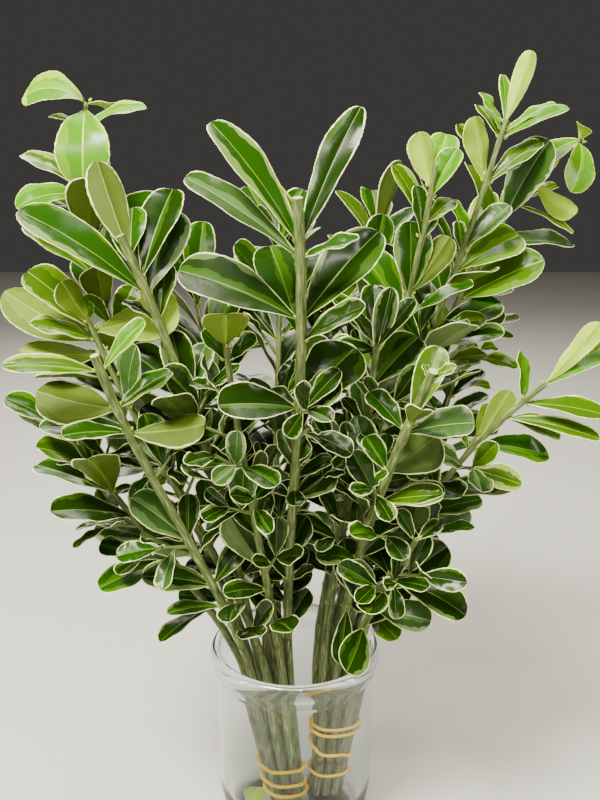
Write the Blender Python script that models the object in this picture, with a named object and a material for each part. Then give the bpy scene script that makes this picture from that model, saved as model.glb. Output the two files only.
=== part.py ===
"""Variegated euonymus: two tied bunches of cut branches standing in a short glass jar.

Metres, +Z up. The origin is the middle of the jar's flat underside. Every branch has a bare
stem, which stands on the jar's floor, and a mass of foliage, whose own stem carries on from
the bare one. Leaves stand in opposite pairs, each pair about a quarter turn from the last.
"""

import math
import random
from collections import namedtuple

import bmesh
import bpy
import numpy as np
from mathutils import Quaternion, Vector
from mathutils.bvhtree import BVHTree
from mathutils.geometry import interpolate_bezier

CM = 0.01
MM = 0.001
CLEAR = 0.3 * MM

# Jar, in metres
JAR_HEIGHT = 0.115
JAR_WALL = 0.003
JAR_FLOOR = 0.008
BODY_RADIUS = 0.0465
RIM_RADIUS = 0.0505
FOOT_RADIUS = 0.036

# Corners of the jar's wall, in metres: radius and height above the floor inside its foot, then
# outside from the body down to the foot, and how far the lip under the rim stands out of the
# body, and how far below the jar's top
INSIDE_FOOT = ((0.0, 0.0), (0.031, 0.0), (0.038, 0.003), (0.0425, 0.010), (0.0435, 0.022))
OUTSIDE_FOOT = ((0.0465, 0.024), (0.0445, 0.012), (0.042, 0.004))
UNDER_RIM = ((0.0032, 0.009), (0.0012, 0.0115), (0.0018, 0.0135), (0.0, 0.0175))

# Stems and ties, in metres. A stem keeps its radius over the first share of its length, and then
# tapers evenly to a share of it at a cut top or at a grown tip
STEM_RADIUS = 0.0026
STRAIGHT = 0.25
CUT_TIP = 0.95
GROWN_TIP = 0.55
TWIG_RADIUS = 0.0011
THREE_SIDED = 1.15  # a three-sided bar reaches this much further out than the round one
WIRE_RADIUS = 0.001
LEAFY_HEIGHT = 0.123

# Each bunch, in cm: the middle of its feet, of its tie and of its place in the jar's mouth,
# and the turn of its seats in degrees
FOOT_Z = 0.83
MOUTH_Z = 9.3
Bunch = namedtuple("Bunch", "foot tie mouth turn")
BUNCHES = {
    "left": Bunch((-0.28, -1.05, FOOT_Z), (-0.60, -1.05, 2.9), (-1.5, -1.0, MOUTH_Z), 6.0),
    "right": Bunch((1.78, 0.85, FOOT_Z), (2.08, 0.85, 3.5), (2.5, 0.75, MOUTH_Z), 0.0),
}
PITCH = 0.56
SPREAD = 1.45

# Heights in cm of each tie's wire at the back of its bunch, where it starts and after each turn
WINDINGS = {"left": (4.9, 3.8, 2.8, 2.3), "right": (6.45, 6.05, 5.5, 3.1, 2.3)}

# Ten stems stand in a bunch as on a triangular lattice
ROW = math.sqrt(3) / 2
SEATS = (
    (-1.5, 0), (-0.5, 0), (0.5, 0), (1.5, 0), (-1, -ROW),
    (0, -ROW), (1, -ROW), (-1, ROW), (0, ROW), (1, ROW),
)

# Share of the leaves below the top that have a short side shoot beside them. A shoot's length in
# cm and, for each of its pairs, how far along it stands, its leaves' length in cm and their lift
SHOOTS = 0.05
SHOOT_LENGTH = (1.2, 2.4)
SHOOT_LIFT = (35, 60)
SHOOT_PAIRS = ((0.55, 2.4, 30), (0.98, 2.0, 55))
SHOOT_SIZES = (0.8, 1.3)

# How far below a cut top the highest pair stands, how far the rule starts below the pairs that are
# given, and how far below the tip leaves are full-grown, all in cm
BELOW_CUT = 0.9
AFTER_GIVEN = (1.0, 1.6)
FULL_GROWN = 6.0

# From where a branch gets leafy up to its tip, as (share of the way, value): how long its leaves
# are and how far it is from one pair to the next, both in cm, and how far they lift, in degrees
LONG_UP = ((0, 3.3), (0.3, 4.1), (0.7, 5.2), (0.92, 4.6), (1, 3.4))
STEP_UP = ((0, 2.5), (0.25, 2.0), (0.5, 1.75), (0.8, 1.7), (1, 1.2))
LIFT_UP = ((0, 16), (0.3, 30), (0.7, 44), (1, 62))

# How leaves differ: their width as a share of their length, how far they curl, fold up their
# halves and roll aside, in degrees, and how much more or less than others they heed the light
WIDTHS = (0.4, 0.58)
CURLS = (8, 42)
FOLDS = (4, 16)
ROLL = 25
HEEDS = 0.3

# How far pairs stray from a quarter turn and leaves from their lift, and one leaf from being
# opposite its other, in degrees, and how much leaves and steps between pairs vary in length
STRAY = 12
SKEW = 6
SIZES = (0.82, 1.15)
STEPS = (0.85, 1.15)

# How far a stem first keeps to its bunch's lean, and where its bend is, as shares of its span
LEAD = 0.27
PULL = 0.66

# Each branch: its bunch and seat, where its tip is and how far it bows aside (cm), whether its
# top is cut, and how large its leaves grow
Stem = namedtuple("Stem", "bunch seat tip arch cut vigour")
STEMS = {
    "front_centre": Stem("left", 3, (0.2, -8.0, 37.4), (0.9, -0.9, 0), True, 1.0),
    "left_front": Stem("left", 4, (-9.4, -6.0, 30.1), (-1.0, 0, 0.6), True, 0.95),
    "left_upper": Stem("left", 1, (-8.4, -3.5, 35.5), (1.35, 0, 0.5), True, 1.0),
    "left_inner": Stem("left", 6, (-3.2, -6.0, 30.6), (-0.3, 0, 0), False, 0.85),
    "left_crest": Stem("left", 7, (-11.0, 2.0, 42.0), (-5.4, 0, 0), False, 1.0),
    "left_far": Stem("left", 5, (-10.5, -2.5, 31.3), (-0.6, 0, 0), False, 1.0),
    "left_low": Stem("left", 0, (-12.2, -2.5, 25.7), (-0.5, 0, 0), False, 0.9),
    "back_left": Stem("left", 2, (-6.7, 9.0, 32.5), (0, 0, 0), False, 1.0),
    "back_centre": Stem("left", 9, (-0.9, 6.5, 35.5), (0, 0, 0), False, 1.0),
    "back_inner": Stem("left", 8, (2.4, 12.5, 30.5), (0, 0, 0), False, 0.95),
    "right_inner": Stem("right", 4, (4.2, -3.0, 29.9), (0.1, 0, 0), False, 0.85),
    "right_front": Stem("right", 5, (6.3, -8.0, 29.8), (-1.0, 0, 0), True, 0.9),
    "right_low": Stem("right", 6, (6.2, -5.5, 20.5), (-0.4, 0, 0), False, 0.95),
    "right_arching": Stem("right", 3, (12.9, -3.0, 28.0), (-2.5, 0.6, 1.0), False, 1.0),
    "right_crest": Stem("right", 1, (11.2, 2.0, 41.1), (0.3, 0, 0), False, 0.9),
    "right_far": Stem("right", 2, (16.2, 5.0, 40.3), (-2.2, 0, 7.0), False, 0.9),
    "right_upper": Stem("right", 0, (7.2, -0.5, 38.8), (0.9, 0, 0), False, 0.9),
    "right_side": Stem("right", 9, (10.3, 6.0, 34.4), (3.8, 0, 0), False, 0.9),
    "back_low": Stem("right", 8, (8.0, 12.5, 24.5), (0, 0, 0.8), False, 0.9),
    "back_right": Stem("right", 7, (5.5, 11.0, 36.0), (0, 0, 0), False, 1.0),
}

# Where the front is seen from, in cm, and how far down it looks from there, in degrees
EYE = Vector((0.3, -45.3, 38.4))
EYE_DOWN = 14.9

# The leaves that show best from the front. For each pair: how far below the stem's tip it stands,
# then one leaf or both. A leaf is how far its tip reaches right of its root, above it and nearer
# than it as seen from the front (all cm), its width as a share of its length and, where they
# aren't plain, how far it curls (degrees) and how far it heeds the light: below 0 it is turned over
SHOWN = {
    "front_centre": (
        (2.1, (2.7, 6.2, -0.6, 0.23), (-3.8, 5.3, 0.9, 0.32)),
        (2.7, (-4.9, 3.5, 1.4, 0.34, 20), (2.5, 0.9, 1.2, 0.40)),
        (5.7, (-5.5, 2.3, 1.0, 0.56), (3.6, 4.2, -0.6, 0.47)),
        (6.8, (-1.5, 4.7, -1.5, 0.46)),
        (10.4, (-4.0, 0.7, 0.9, 0.62), (2.8, 3.0, -0.8, 0.75)),
        (10.8, (2.0, 1.7, 1.0, 0.74, 20, 0.9)),
        (13.7, (0.5, 1.3, 0.8, 0.85)),
        (14.2, (-0.7, 2.1, 0.4, 0.55)),
        (14.8, (-1.5, 0.3, 0.7, 0.60), (1.9, 1.1, 0.4, 0.42)),
        (15.4, (0.1, -0.9, 0.7, 0.95)),
        (16.1, (2.3, 1.2, 0.5, 0.66)),
        (20.0, (0.9, 2.1, 0.6, 0.66)),
        (22.0, (-1.9, 2.1, 0.7, 0.50, 60)),
        (23.6, (-2.0, 1.0, 0.8, 0.50)),
        (25.2, (-1.9, 0.9, 0.7, 0.50), (1.2, 2.1, 0.5, 0.60)),
    ),
    "left_front": (
        (0.9, (2.0, 2.4, 1.3, 0.32, 20, 1.0), (-4.6, 0.3, 1.2, 0.33)),
        (3.0, (-4.0, 0.9, -0.8, 0.60, 24, -0.9)),
        (4.4, (-3.4, 0.1, 1.6, 0.42), (3.7, 0.4, 0.9, 0.50, 24, -0.9)),
        (11.6, (-3.0, 2.3, 1.0, 0.58)),
        (12.7, (-3.0, 1.4, -0.5, 0.45, 24, -0.9)),
        (14.8, (-3.8, 0.5, 1.2, 0.52)),
    ),
    "left_upper": (
        (1.2, (-1.7, 4.9, -1.0, 0.34, 16, -0.9), (0.1, 2.6, -1.6, 0.50)),
        (2.4, (2.1, 4.8, -0.8, 0.42), (-0.7, 3.3, -1.4, 0.52)),
        (3.2, (-6.2, 4.1, 1.6, 0.40)),
        (4.7, (0.4, 3.0, -0.8, 0.42)),
        (9.0, (-3.2, 2.6, 0.3, 0.60)),
        (9.4, (-1.0, 3.9, 0.6, 0.42)),
    ),
    "left_inner": (
        (0.1, (0.0, 1.5, 2.0, 0.90, 16)),
        (0.9, (-1.2, 1.5, 0.6, 0.60), (1.3, 1.3, 0.4, 0.60)),
        (8.6, (1.2, 2.1, 1.0, 0.28, 16, -0.9)),
        (11.4, (-1.6, 2.6, 0.5, 0.52), (0.5, 2.6, -0.3, 0.42)),
        (13.5, (-1.9, 2.9, 0.6, 0.55, 24, -0.9)),
    ),
    "left_crest": (
        (0.0, (-3.3, 0.2, 0.6, 0.95, 100, 0.9)),
        (0.3, (-0.1, -3.9, 1.5, 0.60, 80, 0.9)),
        (1.4, (3.3, 1.2, 0.2, 0.50, 50)),
        (4.4, (-3.2, 1.9, -0.6, 0.42)),
        (4.8, (-3.5, -0.6, 1.4, 0.60, 60, 0.9)),
        (5.8, (-2.2, 1.3, 1.0, 0.50)),
    ),
    "left_far": (
        (0.3, (-1.4, 2.1, 1.2, 0.60, 20, -0.9)),
        (0.7, (-3.3, 3.0, 0.8, 0.60), (4.0, 0.2, 1.4, 0.62, 24, -0.8)),
        (1.3, (-3.4, 0.9, 1.4, 0.46), (-4.9, 2.6, -0.8, 0.44, 24, -0.9)),
        (2.0, (-4.4, 0.2, -0.8, 0.45, 24, -0.9)),
    ),
    "left_low": (
        (0.3, (-3.1, 1.6, 0.8, 0.50)),
    ),
    "right_inner": (
        (0.1, (-1.2, 1.9, 0.2, 0.42), (1.9, 2.5, 0.6, 0.36)),
        (0.5, (-0.1, 3.7, -0.5, 0.42), (0.8, 3.5, 0.4, 0.34)),
        (2.3, (2.5, 2.7, -0.3, 0.62)),
        (4.4, (2.5, 1.9, 0.8, 0.34)),
        (7.6, (-2.2, 3.2, 0.4, 0.48)),
    ),
    "right_front": (
        (0.5, (1.2, 0.6, 0.7, 0.50)),
        (3.3, (1.5, 3.8, -0.6, 0.36)),
        (3.8, (3.2, 0.5, 1.3, 0.62)),
        (6.6, (2.4, 1.9, 1.0, 0.80, 20, -0.9)),
        (8.8, (3.3, 0.4, 1.6, 0.42)),
        (9.4, (-0.9, 4.9, 0.6, 0.36)),
        (13.3, (2.3, 2.3, -0.4, 0.50)),
        (16.2, (-0.9, 3.2, 0.8, 0.60)),
        (17.2, (-0.4, -3.3, 0.5, 0.38)),
    ),
    "right_low": (
        (0.2, (1.3, 1.0, -0.4, 0.50), (-0.9, 1.6, 0.5, 0.50)),
        (3.7, (3.9, -1.9, 1.5, 0.48, 50)),
    ),
    "right_arching": (
        (0.3, (3.0, 3.3, 0.6, 0.26, 20, -0.9), (3.3, 2.2, -0.7, 0.36)),
        (1.6, (4.3, -0.6, 0.8, 0.40)),
        (2.8, (4.9, -1.1, 1.2, 0.28), (3.0, -0.9, -0.7, 0.50)),
        (4.9, (2.1, 2.6, 0.8, 0.40, 20, -0.9), (3.9, -0.6, -0.6, 0.48)),
        (8.7, (4.5, 0.5, 1.0, 0.42)),
        (10.4, (3.6, 0.9, -0.6, 0.42)),
    ),
    "right_crest": (
        (0.2, (1.4, 3.9, 0.5, 0.26, 16, -0.9), (-0.1, 2.7, -0.5, 0.26)),
        (0.6, (-1.2, 2.1, 0.6, 0.50), (2.9, 1.5, -0.3, 0.28)),
        (1.0, (3.6, 1.7, 0.8, 0.36)),
        (3.1, (-1.6, 3.0, -0.5, 0.36)),
        (3.4, (-0.6, 3.6, 0.9, 0.42, 16, -0.9), (3.0, 2.3, 0.3, 0.42)),
        (7.2, (2.6, 2.6, 0.4, 0.45)),
    ),
    "right_far": (
        (0.0, (-2.9, -1.8, 0.6, 0.42, 50)),
        (0.2, (0.2, 0.9, 1.5, 0.70, 90), (-0.4, -2.8, 1.0, 0.60, 70)),
        (3.6, (2.3, -1.9, 0.6, 0.62, 24, -0.9)),
        (5.3, (3.2, -1.6, 1.0, 0.30), (2.6, 1.1, -0.5, 0.30)),
    ),
    "right_upper": (
        (1.2, (-0.6, 2.9, 0.9, 0.54, 16, -0.9), (0.8, 2.9, -0.8, 0.50)),
        (1.7, (1.4, 2.6, 0.3, 0.50)),
        (3.0, (-1.6, 3.1, 0.2, 0.44)),
        (3.8, (-0.3, 2.8, 0.9, 0.52)),
        (6.8, (0.1, 3.9, 1.0, 0.62), (2.2, 3.1, 0.8, 0.40, 24, -0.9)),
    ),
    "right_side": (
        (0.6, (-1.0, 3.1, 0.8, 0.58), (1.4, 3.7, -0.3, 0.42)),
        (2.8, (3.1, 2.5, 0.5, 0.36), (3.3, 1.6, -0.5, 0.32)),
        (5.3, (2.2, 1.5, 0.8, 0.62, 24, -0.9)),
        (5.7, (3.3, 1.3, 0.3, 0.32), (3.0, 0.2, -0.5, 0.36)),
        (9.4, (2.2, 1.6, 0.3, 0.50)),
        (10.9, (2.9, 1.6, 0.8, 0.42)),
    ),
}

# What a leaf of these has where only its reach and width are given, its curl and its heed, and
# how far its halves are folded up, in degrees
PLAIN = (24, 0.65)
FOLD = 10

# Where only one leaf of a pair shows: how far the other one leans away from the viewer, and its
# length as a share of the one that shows
HIDDEN = 0.7
OTHERS = (0.55, 0.85)

TO_LIGHT = Vector((0.1, -0.6, 0.8)).normalized()

# Other ways for a leaf that meets a neighbour to stand: turn and lift, in degrees
SHIFTS = ((0, 0), (0, 12), (14, 0), (-14, 0), (0, -12), (22, 10), (-22, 10), (32, -6), (-32, -6))

# A bud holds all that its leaf draws at random, so that the leaf can be opened again elsewhere
Bud = namedtuple("Bud", "spot along way length width curl fold heed roll age twig shown")
Leaf = namedtuple("Leaf", "base axis face length width curl fold age")
Twig = namedtuple("Twig", "start end")
Branch = namedtuple("Branch", "points leafy buds twigs")


def centreline(stem, count=10):
    """Foot, tie and then a curve from the jar's mouth to the tip."""
    bunch = BUNCHES[stem.bunch]
    u, v = SEATS[stem.seat]
    turn = math.radians(bunch.turn)
    seat = PITCH * (Quaternion((0, 0, 1), turn) @ Vector((u, v, 0)))
    foot, tie = Vector(bunch.foot) + seat, Vector(bunch.tie) + seat
    mouth, tip = Vector(bunch.mouth) + SPREAD * seat, Vector(stem.tip)
    lead = mouth + (mouth - tie).normalized() * (tip - mouth).length * LEAD
    pull = mouth + PULL * (tip - mouth) + Vector(stem.arch)
    curve = interpolate_bezier(mouth, lead, pull, tip, count)
    return [CM * p for p in (foot, tie, *curve)]


def marks(points):
    """Distance along the points from the first to each."""
    reached = [0.0]
    for a, b in zip(points, points[1:]):
        reached.append(reached[-1] + (b - a).length)
    return reached


def place(points, distance):
    """Point and direction at a distance along the points."""
    reached = marks(points)
    k = max(j for j in range(len(points) - 1) if j == 0 or reached[j] <= distance)
    share = (distance - reached[k]) / (reached[k + 1] - reached[k])
    return points[k].lerp(points[k + 1], share), (points[k + 1] - points[k]).normalized()


def mark_at_height(points, height):
    """Distance along the points where they first rise to a height."""
    reached = marks(points)
    k = next(j for j, point in enumerate(points) if point.z > height)
    share = (height - points[k - 1].z) / (points[k].z - points[k - 1].z)
    return reached[k - 1] + share * (reached[k] - reached[k - 1])


def between(value, *pairs):
    """A value read from a line through (at, value) pairs."""
    return float(np.interp(value, [a for a, _ in pairs], [b for _, b in pairs]))


def outward(direction, turn, lift):
    """The way that points aside from a stem at a turn about it, lifted towards its tip."""
    right = (Vector((1, 0, 0)) - direction.x * direction).normalized()
    turn, lift = math.radians(turn), math.radians(lift)
    aside = math.cos(turn) * right + math.sin(turn) * direction.cross(right)
    return math.cos(lift) * aside + math.sin(lift) * direction


def bud(rng, spot, along, way, length, age, heed=0.6, twig=None):
    """A bud's own differences from its neighbours, in a fixed number of random draws."""
    width = length * rng.uniform(*WIDTHS)
    curl = rng.uniform(*CURLS)
    fold = rng.uniform(*FOLDS)
    heed = heed + rng.uniform(-HEEDS, HEEDS)
    roll = rng.uniform(-ROLL, ROLL)
    return Bud(spot, along, way, length * CM, width * CM, curl, fold, heed, roll, age, twig, False)


def shown_bud(spot, along, leaf, age):
    """The bud of a leaf that is given by its looks from the front."""
    right, up, near, ratio, curl, heed = leaf + PLAIN[len(leaf) - 4 :]
    down = math.radians(EYE_DOWN)
    sight = (CM * EYE - spot).normalized()
    reach = CM * (Vector((right, up * math.sin(down), up * math.cos(down))) + near * sight)
    width = ratio * reach.length
    return Bud(spot, along, reach.normalized(), reach.length, width, curl, FOLD, heed, 0, age, None, True)


def opened(bud, shift=(0, 0)):
    """The bud's leaf: it arches over its reach, and its face lies between its stem's tip and the light."""
    way = Quaternion(bud.along, math.radians(shift[0])) @ bud.way
    way = Quaternion(way.cross(bud.along).normalized(), math.radians(shift[1])) @ way
    own = bud.along - bud.along.dot(way) * way
    lit = TO_LIGHT - TO_LIGHT.dot(way) * way
    face = (1 - abs(bud.heed)) * own / max(own.length, 0.3) + bud.heed * lit / max(lit.length, 0.3)
    face = Quaternion(way, math.radians(bud.roll)) @ (face - face.dot(way) * way).normalized()
    half = 0.5 * math.radians(bud.curl)
    axis = math.cos(half) * way + math.sin(half) * face
    face = math.cos(half) * face - math.sin(half) * way
    length = bud.length * half / math.sin(half)
    return Leaf(bud.spot, axis, face, length, bud.width, bud.curl, bud.fold, bud.age)


def sprout(rng, buds, twigs, spot, along, turn):
    """A short side twig with two pairs of small leaves."""
    way = outward(along, turn, rng.uniform(*SHOOT_LIFT))
    length = rng.uniform(*SHOOT_LENGTH) * CM
    twigs.append(Twig(spot, spot + length * way))
    around = rng.uniform(0, 180)
    for share, size, lift in SHOOT_PAIRS:
        for side in (0, 180):
            own = size * rng.uniform(*SHOOT_SIZES)
            aim = outward(way, around + side, lift)
            buds.append(bud(rng, spot + share * length * way, way, aim, own, 0.75, twig=len(twigs) - 1))
        around += 90


def branch(name):
    """One branch as it would grow with nothing in its way."""
    stem = STEMS[name]
    points = centreline(stem)
    length = marks(points)[-1]
    rng = random.Random("euonymus " + name)
    leafy = mark_at_height(points, LEAFY_HEIGHT)
    buds, twigs = [], []
    below, turn = (BELOW_CUT if stem.cut else 0.0), rng.uniform(0, 360)
    for below, *pair in SHOWN.get(name, ()):
        spot, along = place(points, length - below * CM)
        age = min(1.0, below / FULL_GROWN)
        buds += [shown_bud(spot, along, leaf, age) for leaf in pair]
        if len(pair) == 1:
            sight = (CM * EYE - spot).normalized()
            across = (Quaternion(along, math.pi) @ buds[-1].way - HIDDEN * sight).normalized()
            size = buds[-1].length / CM * rng.uniform(*OTHERS)
            buds.append(bud(rng, spot, along, across, size, age))
    span = (length - leafy) / CM
    below += rng.uniform(*AFTER_GIVEN)
    while below < span - 0.3:
        turn += 90 + rng.uniform(-STRAY, STRAY)
        spot, along = place(points, length - below * CM)
        up = 1 - below / span
        size = stem.vigour * between(up, *LONG_UP)
        lift = between(up, *LIFT_UP)
        for side in (0, 180):
            own = size * rng.uniform(*SIZES)
            around = turn + side + rng.uniform(-SKEW, SKEW)
            way = outward(along, around, lift + rng.uniform(-STRAY, STRAY))
            buds.append(bud(rng, spot, along, way, own, min(1.0, below / FULL_GROWN)))
            if rng.random() < SHOOTS and up < 0.6:
                sprout(rng, buds, twigs, spot, along, turn + side + rng.uniform(-2 * STRAY, 2 * STRAY))
        below += between(up, *STEP_UP) * rng.uniform(*STEPS)
    return Branch(points, leafy, buds, twigs)


# Outline of a leaf's solid: shares of its length and of its half width, from the root up one
# side, round the tip and back to the root
OUTLINE = ((0.5, -0.95), (0.97, -0.42), (0.97, 0.42), (0.5, 0.95))
SUNK = 0.5 * MM

# How near the root of a twig or a leaf its own mass may be, and how near its ends a bar has no ring
NEAR_TWIG = 4 * MM
NEAR_LEAF = 9 * MM
NEAR_END = 4 * MM


def thickness(leaf):
    """Of the leaf at its root."""
    return max(1.7 * MM, leaf.length / 30)


def on_leaf(leaf, along, aside, lift=0.0):
    """A point of the bent and folded leaf, at shares of its length and of its half width."""
    bend = math.radians(leaf.curl)
    out = leaf.length * math.sin(bend * along) / bend
    down = leaf.length * (1 - math.cos(bend * along)) / bend
    raised = abs(aside) * 0.5 * leaf.width * math.tan(math.radians(leaf.fold)) + lift - down
    side = leaf.face.cross(leaf.axis)
    return leaf.base + out * leaf.axis + raised * leaf.face + aside * 0.5 * leaf.width * side


def leaf_solid(leaf):
    """A leaf as a closed wedge: thick at its root, which is sunk in its stem, thin round its edge."""
    half = 0.5 * thickness(leaf)
    root = leaf.base - SUNK * leaf.axis
    corners = [root + half * leaf.face, root - half * leaf.face]
    corners += [on_leaf(leaf, along, aside) for along, aside in OUTLINE]
    last = len(corners) - 1
    faces = [(0, last, 1), (0, 1, 2)]
    for k in range(2, last):
        faces += [(0, k, k + 1), (1, k + 1, k)]
    return corners, faces


def leaf_guard(leaf, room=CLEAR):
    """A slightly larger plate round the leaf, which nothing else may touch."""
    half = 0.5 * thickness(leaf) + room
    wide = (leaf.width + 4 * room) / leaf.width
    long = 1 + 2 * room / leaf.length
    top, low = [leaf.base + half * leaf.face], [leaf.base - half * leaf.face]
    for along, aside in OUTLINE:
        top.append(on_leaf(leaf, along * long, aside * wide, 1.3 * room))
        low.append(on_leaf(leaf, along * long, aside * wide, -1.3 * room))
    count = len(top)
    faces = []
    for k in range(1, count - 1):
        faces += [(0, k, k + 1), (count, count + k + 1, count + k)]
    for k in range(count):
        after = (k + 1) % count
        faces.append((k, count + k, count + after, after))
    return top + low, faces


def tube(points, radii, sides, level=False):
    """A closed bar along the points, with a flat end at each; level cuts the first one level."""
    corners, faces = [], []
    across = (points[1] - points[0]).orthogonal().normalized()
    for k, (point, radius) in enumerate(zip(points, radii)):
        ahead = (points[min(k + 1, len(points) - 1)] - points[max(k - 1, 0)]).normalized()
        across = (across - across.dot(ahead) * ahead).normalized()
        other = ahead.cross(across)
        for j in range(sides):
            angle = 2 * math.pi * j / sides
            corner = point + radius * (math.cos(angle) * across + math.sin(angle) * other)
            if level and k == 0:
                corner -= ahead * (corner.z - point.z) / ahead.z
            corners.append(corner)
    for k in range(len(points) - 1):
        for j in range(sides):
            a, b = k * sides + j, k * sides + (j + 1) % sides
            faces.append((a, b, b + sides, a + sides))
    faces.append(tuple(reversed(range(sides))))
    faces.append(tuple(range(len(corners) - sides, len(corners))))
    return corners, faces


def stretch(name, grown, start, end, sides, more=0.0, level=False):
    """The branch's own bar from one distance along it to another."""
    reached = marks(grown.points)
    inner = [mark for mark in reached if start + NEAR_END < mark < end - NEAR_END]
    stops = [start, *inner, end]
    tip = CUT_TIP if STEMS[name].cut else GROWN_TIP
    full = STEM_RADIUS * (THREE_SIDED if sides == 3 else 1.0)
    radii = [more + full * between(stop / reached[-1], (STRAIGHT, 1.0), (1.0, tip)) for stop in stops]
    return tube([place(grown.points, stop)[0] for stop in stops], radii, sides, level)


def twig_bar(twig, more=0.0):
    """A side twig: a slender three-sided bar, a little thinner at its end."""
    return tube([twig.start, twig.end], [TWIG_RADIUS + more, 0.8 * TWIG_RADIUS + more], 3)


# One accepted or fixed thing: the mass that it belongs to, where it starts, its box and its tree
Taken = namedtuple("Taken", "owner spot low high tree")


def taken(owner, spot, shape):
    """The shape as a thing that others keep clear of."""
    corners, faces = shape
    low = [min(c[k] for c in corners) for k in range(3)]
    high = [max(c[k] for c in corners) for k in range(3)]
    return Taken(owner, spot, low, high, BVHTree.FromPolygons(corners, faces))


def meets(wanted, fixed, near=0.0):
    """Whether the wanted thing touches a fixed one; near its own start its own mass is let be."""
    for other in fixed:
        if other.owner == wanted.owner and (other.spot - wanted.spot).length < near:
            continue
        if any(wanted.low[k] > other.high[k] or wanted.high[k] < other.low[k] for k in range(3)):
            continue
        if wanted.tree.overlap(other.tree):
            return True
    return False


def arrange(branches, jar_shape):
    """The twigs and leaves that each mass keeps, each in its own space."""
    fixed = [taken("jar", Vector(), jar_shape)]
    for name, grown in branches.items():
        end = marks(grown.points)[-1]
        bare = stretch(name, grown, 0, grown.leafy, 8, level=True)
        leafy = stretch(name, grown, grown.leafy, end, 8)
        fixed.append(taken("stem " + name, grown.points[0], bare))
        fixed.append(taken("bar " + name, grown.points[0], leafy))
    kept = {name: ([], []) for name in branches}
    for shown in (True, False):
        for name, grown in branches.items():
            twigs, leaves = kept[name]
            standing = {}
            for bud in grown.buds:
                if bud.shown != shown:
                    continue
                own = {"bar " + name}
                if bud.twig is not None and bud.twig not in standing:
                    twig = grown.twigs[bud.twig]
                    wanted = taken(name, twig.start, twig_bar(twig, CLEAR))
                    others = [thing for thing in fixed if thing.owner not in own]
                    standing[bud.twig] = not meets(wanted, others, NEAR_TWIG)
                    if standing[bud.twig]:
                        twigs.append(twig)
                        fixed.append(taken(name, twig.start, twig_bar(twig)))
                if bud.twig is not None and not standing[bud.twig]:
                    continue
                others = [thing for thing in fixed if thing.owner not in own]
                for shift in SHIFTS:
                    leaf = opened(bud, shift)
                    if not meets(taken(name, leaf.base, leaf_guard(leaf)), others, NEAR_LEAF):
                        leaves.append(leaf)
                        fixed.append(taken(name, leaf.base, leaf_solid(leaf)))
                        break
    return kept


# Half of the width and height of the rim's bead, in metres
BEAD_WIDE = 0.0036
BEAD_HIGH = 0.0055


def jar_section():
    """Radius and height of the jar's wall: from the middle of its floor up inside, over and down."""
    section = [(radius, JAR_FLOOR + above) for radius, above in INSIDE_FOOT]
    section.append((BODY_RADIUS - JAR_WALL, JAR_HEIGHT - 3 * BEAD_HIGH))
    for k in range(9):
        angle = math.pi * (1 - k / 8)
        radius = RIM_RADIUS - BEAD_WIDE * (1 - math.cos(angle))
        section.append((radius, JAR_HEIGHT - BEAD_HIGH * (1 - math.sin(angle))))
    section += [(BODY_RADIUS + more, JAR_HEIGHT - below) for more, below in UNDER_RIM]
    section += OUTSIDE_FOOT
    section += [(FOOT_RADIUS, 0.0), (0.0, 0.0)]
    return section


def winding(bunch, steps=16):
    """A tie's path: a taut helix round its stems, with arcs at the outer ones and straights between."""
    lines = [centreline(stem) for stem in STEMS.values() if stem.bunch == bunch]
    heights = WINDINGS[bunch]
    path = []
    for k in range((len(heights) - 1) * steps + 1):
        height = between(k / steps, *enumerate(heights)) * CM
        angle = 2 * math.pi * k / steps + 0.5 * math.pi
        out = Vector((math.cos(angle), math.sin(angle), 0))
        spots = [place(line, mark_at_height(line, height))[0] for line in lines]
        outer = max(spots, key=out.dot)
        path.append(outer + (1.04 * STEM_RADIUS + WIRE_RADIUS + CLEAR) * out)
    return path


# The small leaf that lies on the jar's floor: its root (cm), the way it points, its length and
# width (cm), and its curl in degrees
FALLEN_AT = (-2.55, -1.4, 0.92)
FALLEN_WAY = (0.1, 1, 0)
FALLEN_LONG = 2.1
FALLEN_WIDE = 1.4
FALLEN_CURL = -14


def fallen_leaf():
    """The leaf on the jar's floor: face up, with its tip a little raised."""
    root, way = CM * Vector(FALLEN_AT), Vector(FALLEN_WAY).normalized()
    up = Vector((0, 0, 1))
    return Leaf(root, way, up, CM * FALLEN_LONG, CM * FALLEN_WIDE, FALLEN_CURL, FOLD, 0)


def material(name, colour, roughness, **more):
    """A plain Principled material."""
    made = bpy.data.materials.new(name)
    made.use_nodes = True
    shader = made.node_tree.nodes["Principled BSDF"]
    shader.inputs["Base Color"].default_value = (*colour, 1)
    shader.inputs["Roughness"].default_value = roughness
    for key, value in more.items():
        shader.inputs[key.replace("_", " ")].default_value = value
    return made


def mesh_object(name, shape, look=None):
    """An object from corners and faces."""
    mesh = bpy.data.meshes.new(name)
    mesh.from_pydata([tuple(corner) for corner in shape[0]], [], shape[1])
    mesh.update()
    made = bpy.data.objects.new(name, mesh)
    if look:
        mesh.materials.append(look)
        bpy.context.scene.collection.objects.link(made)
    return made


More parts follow.
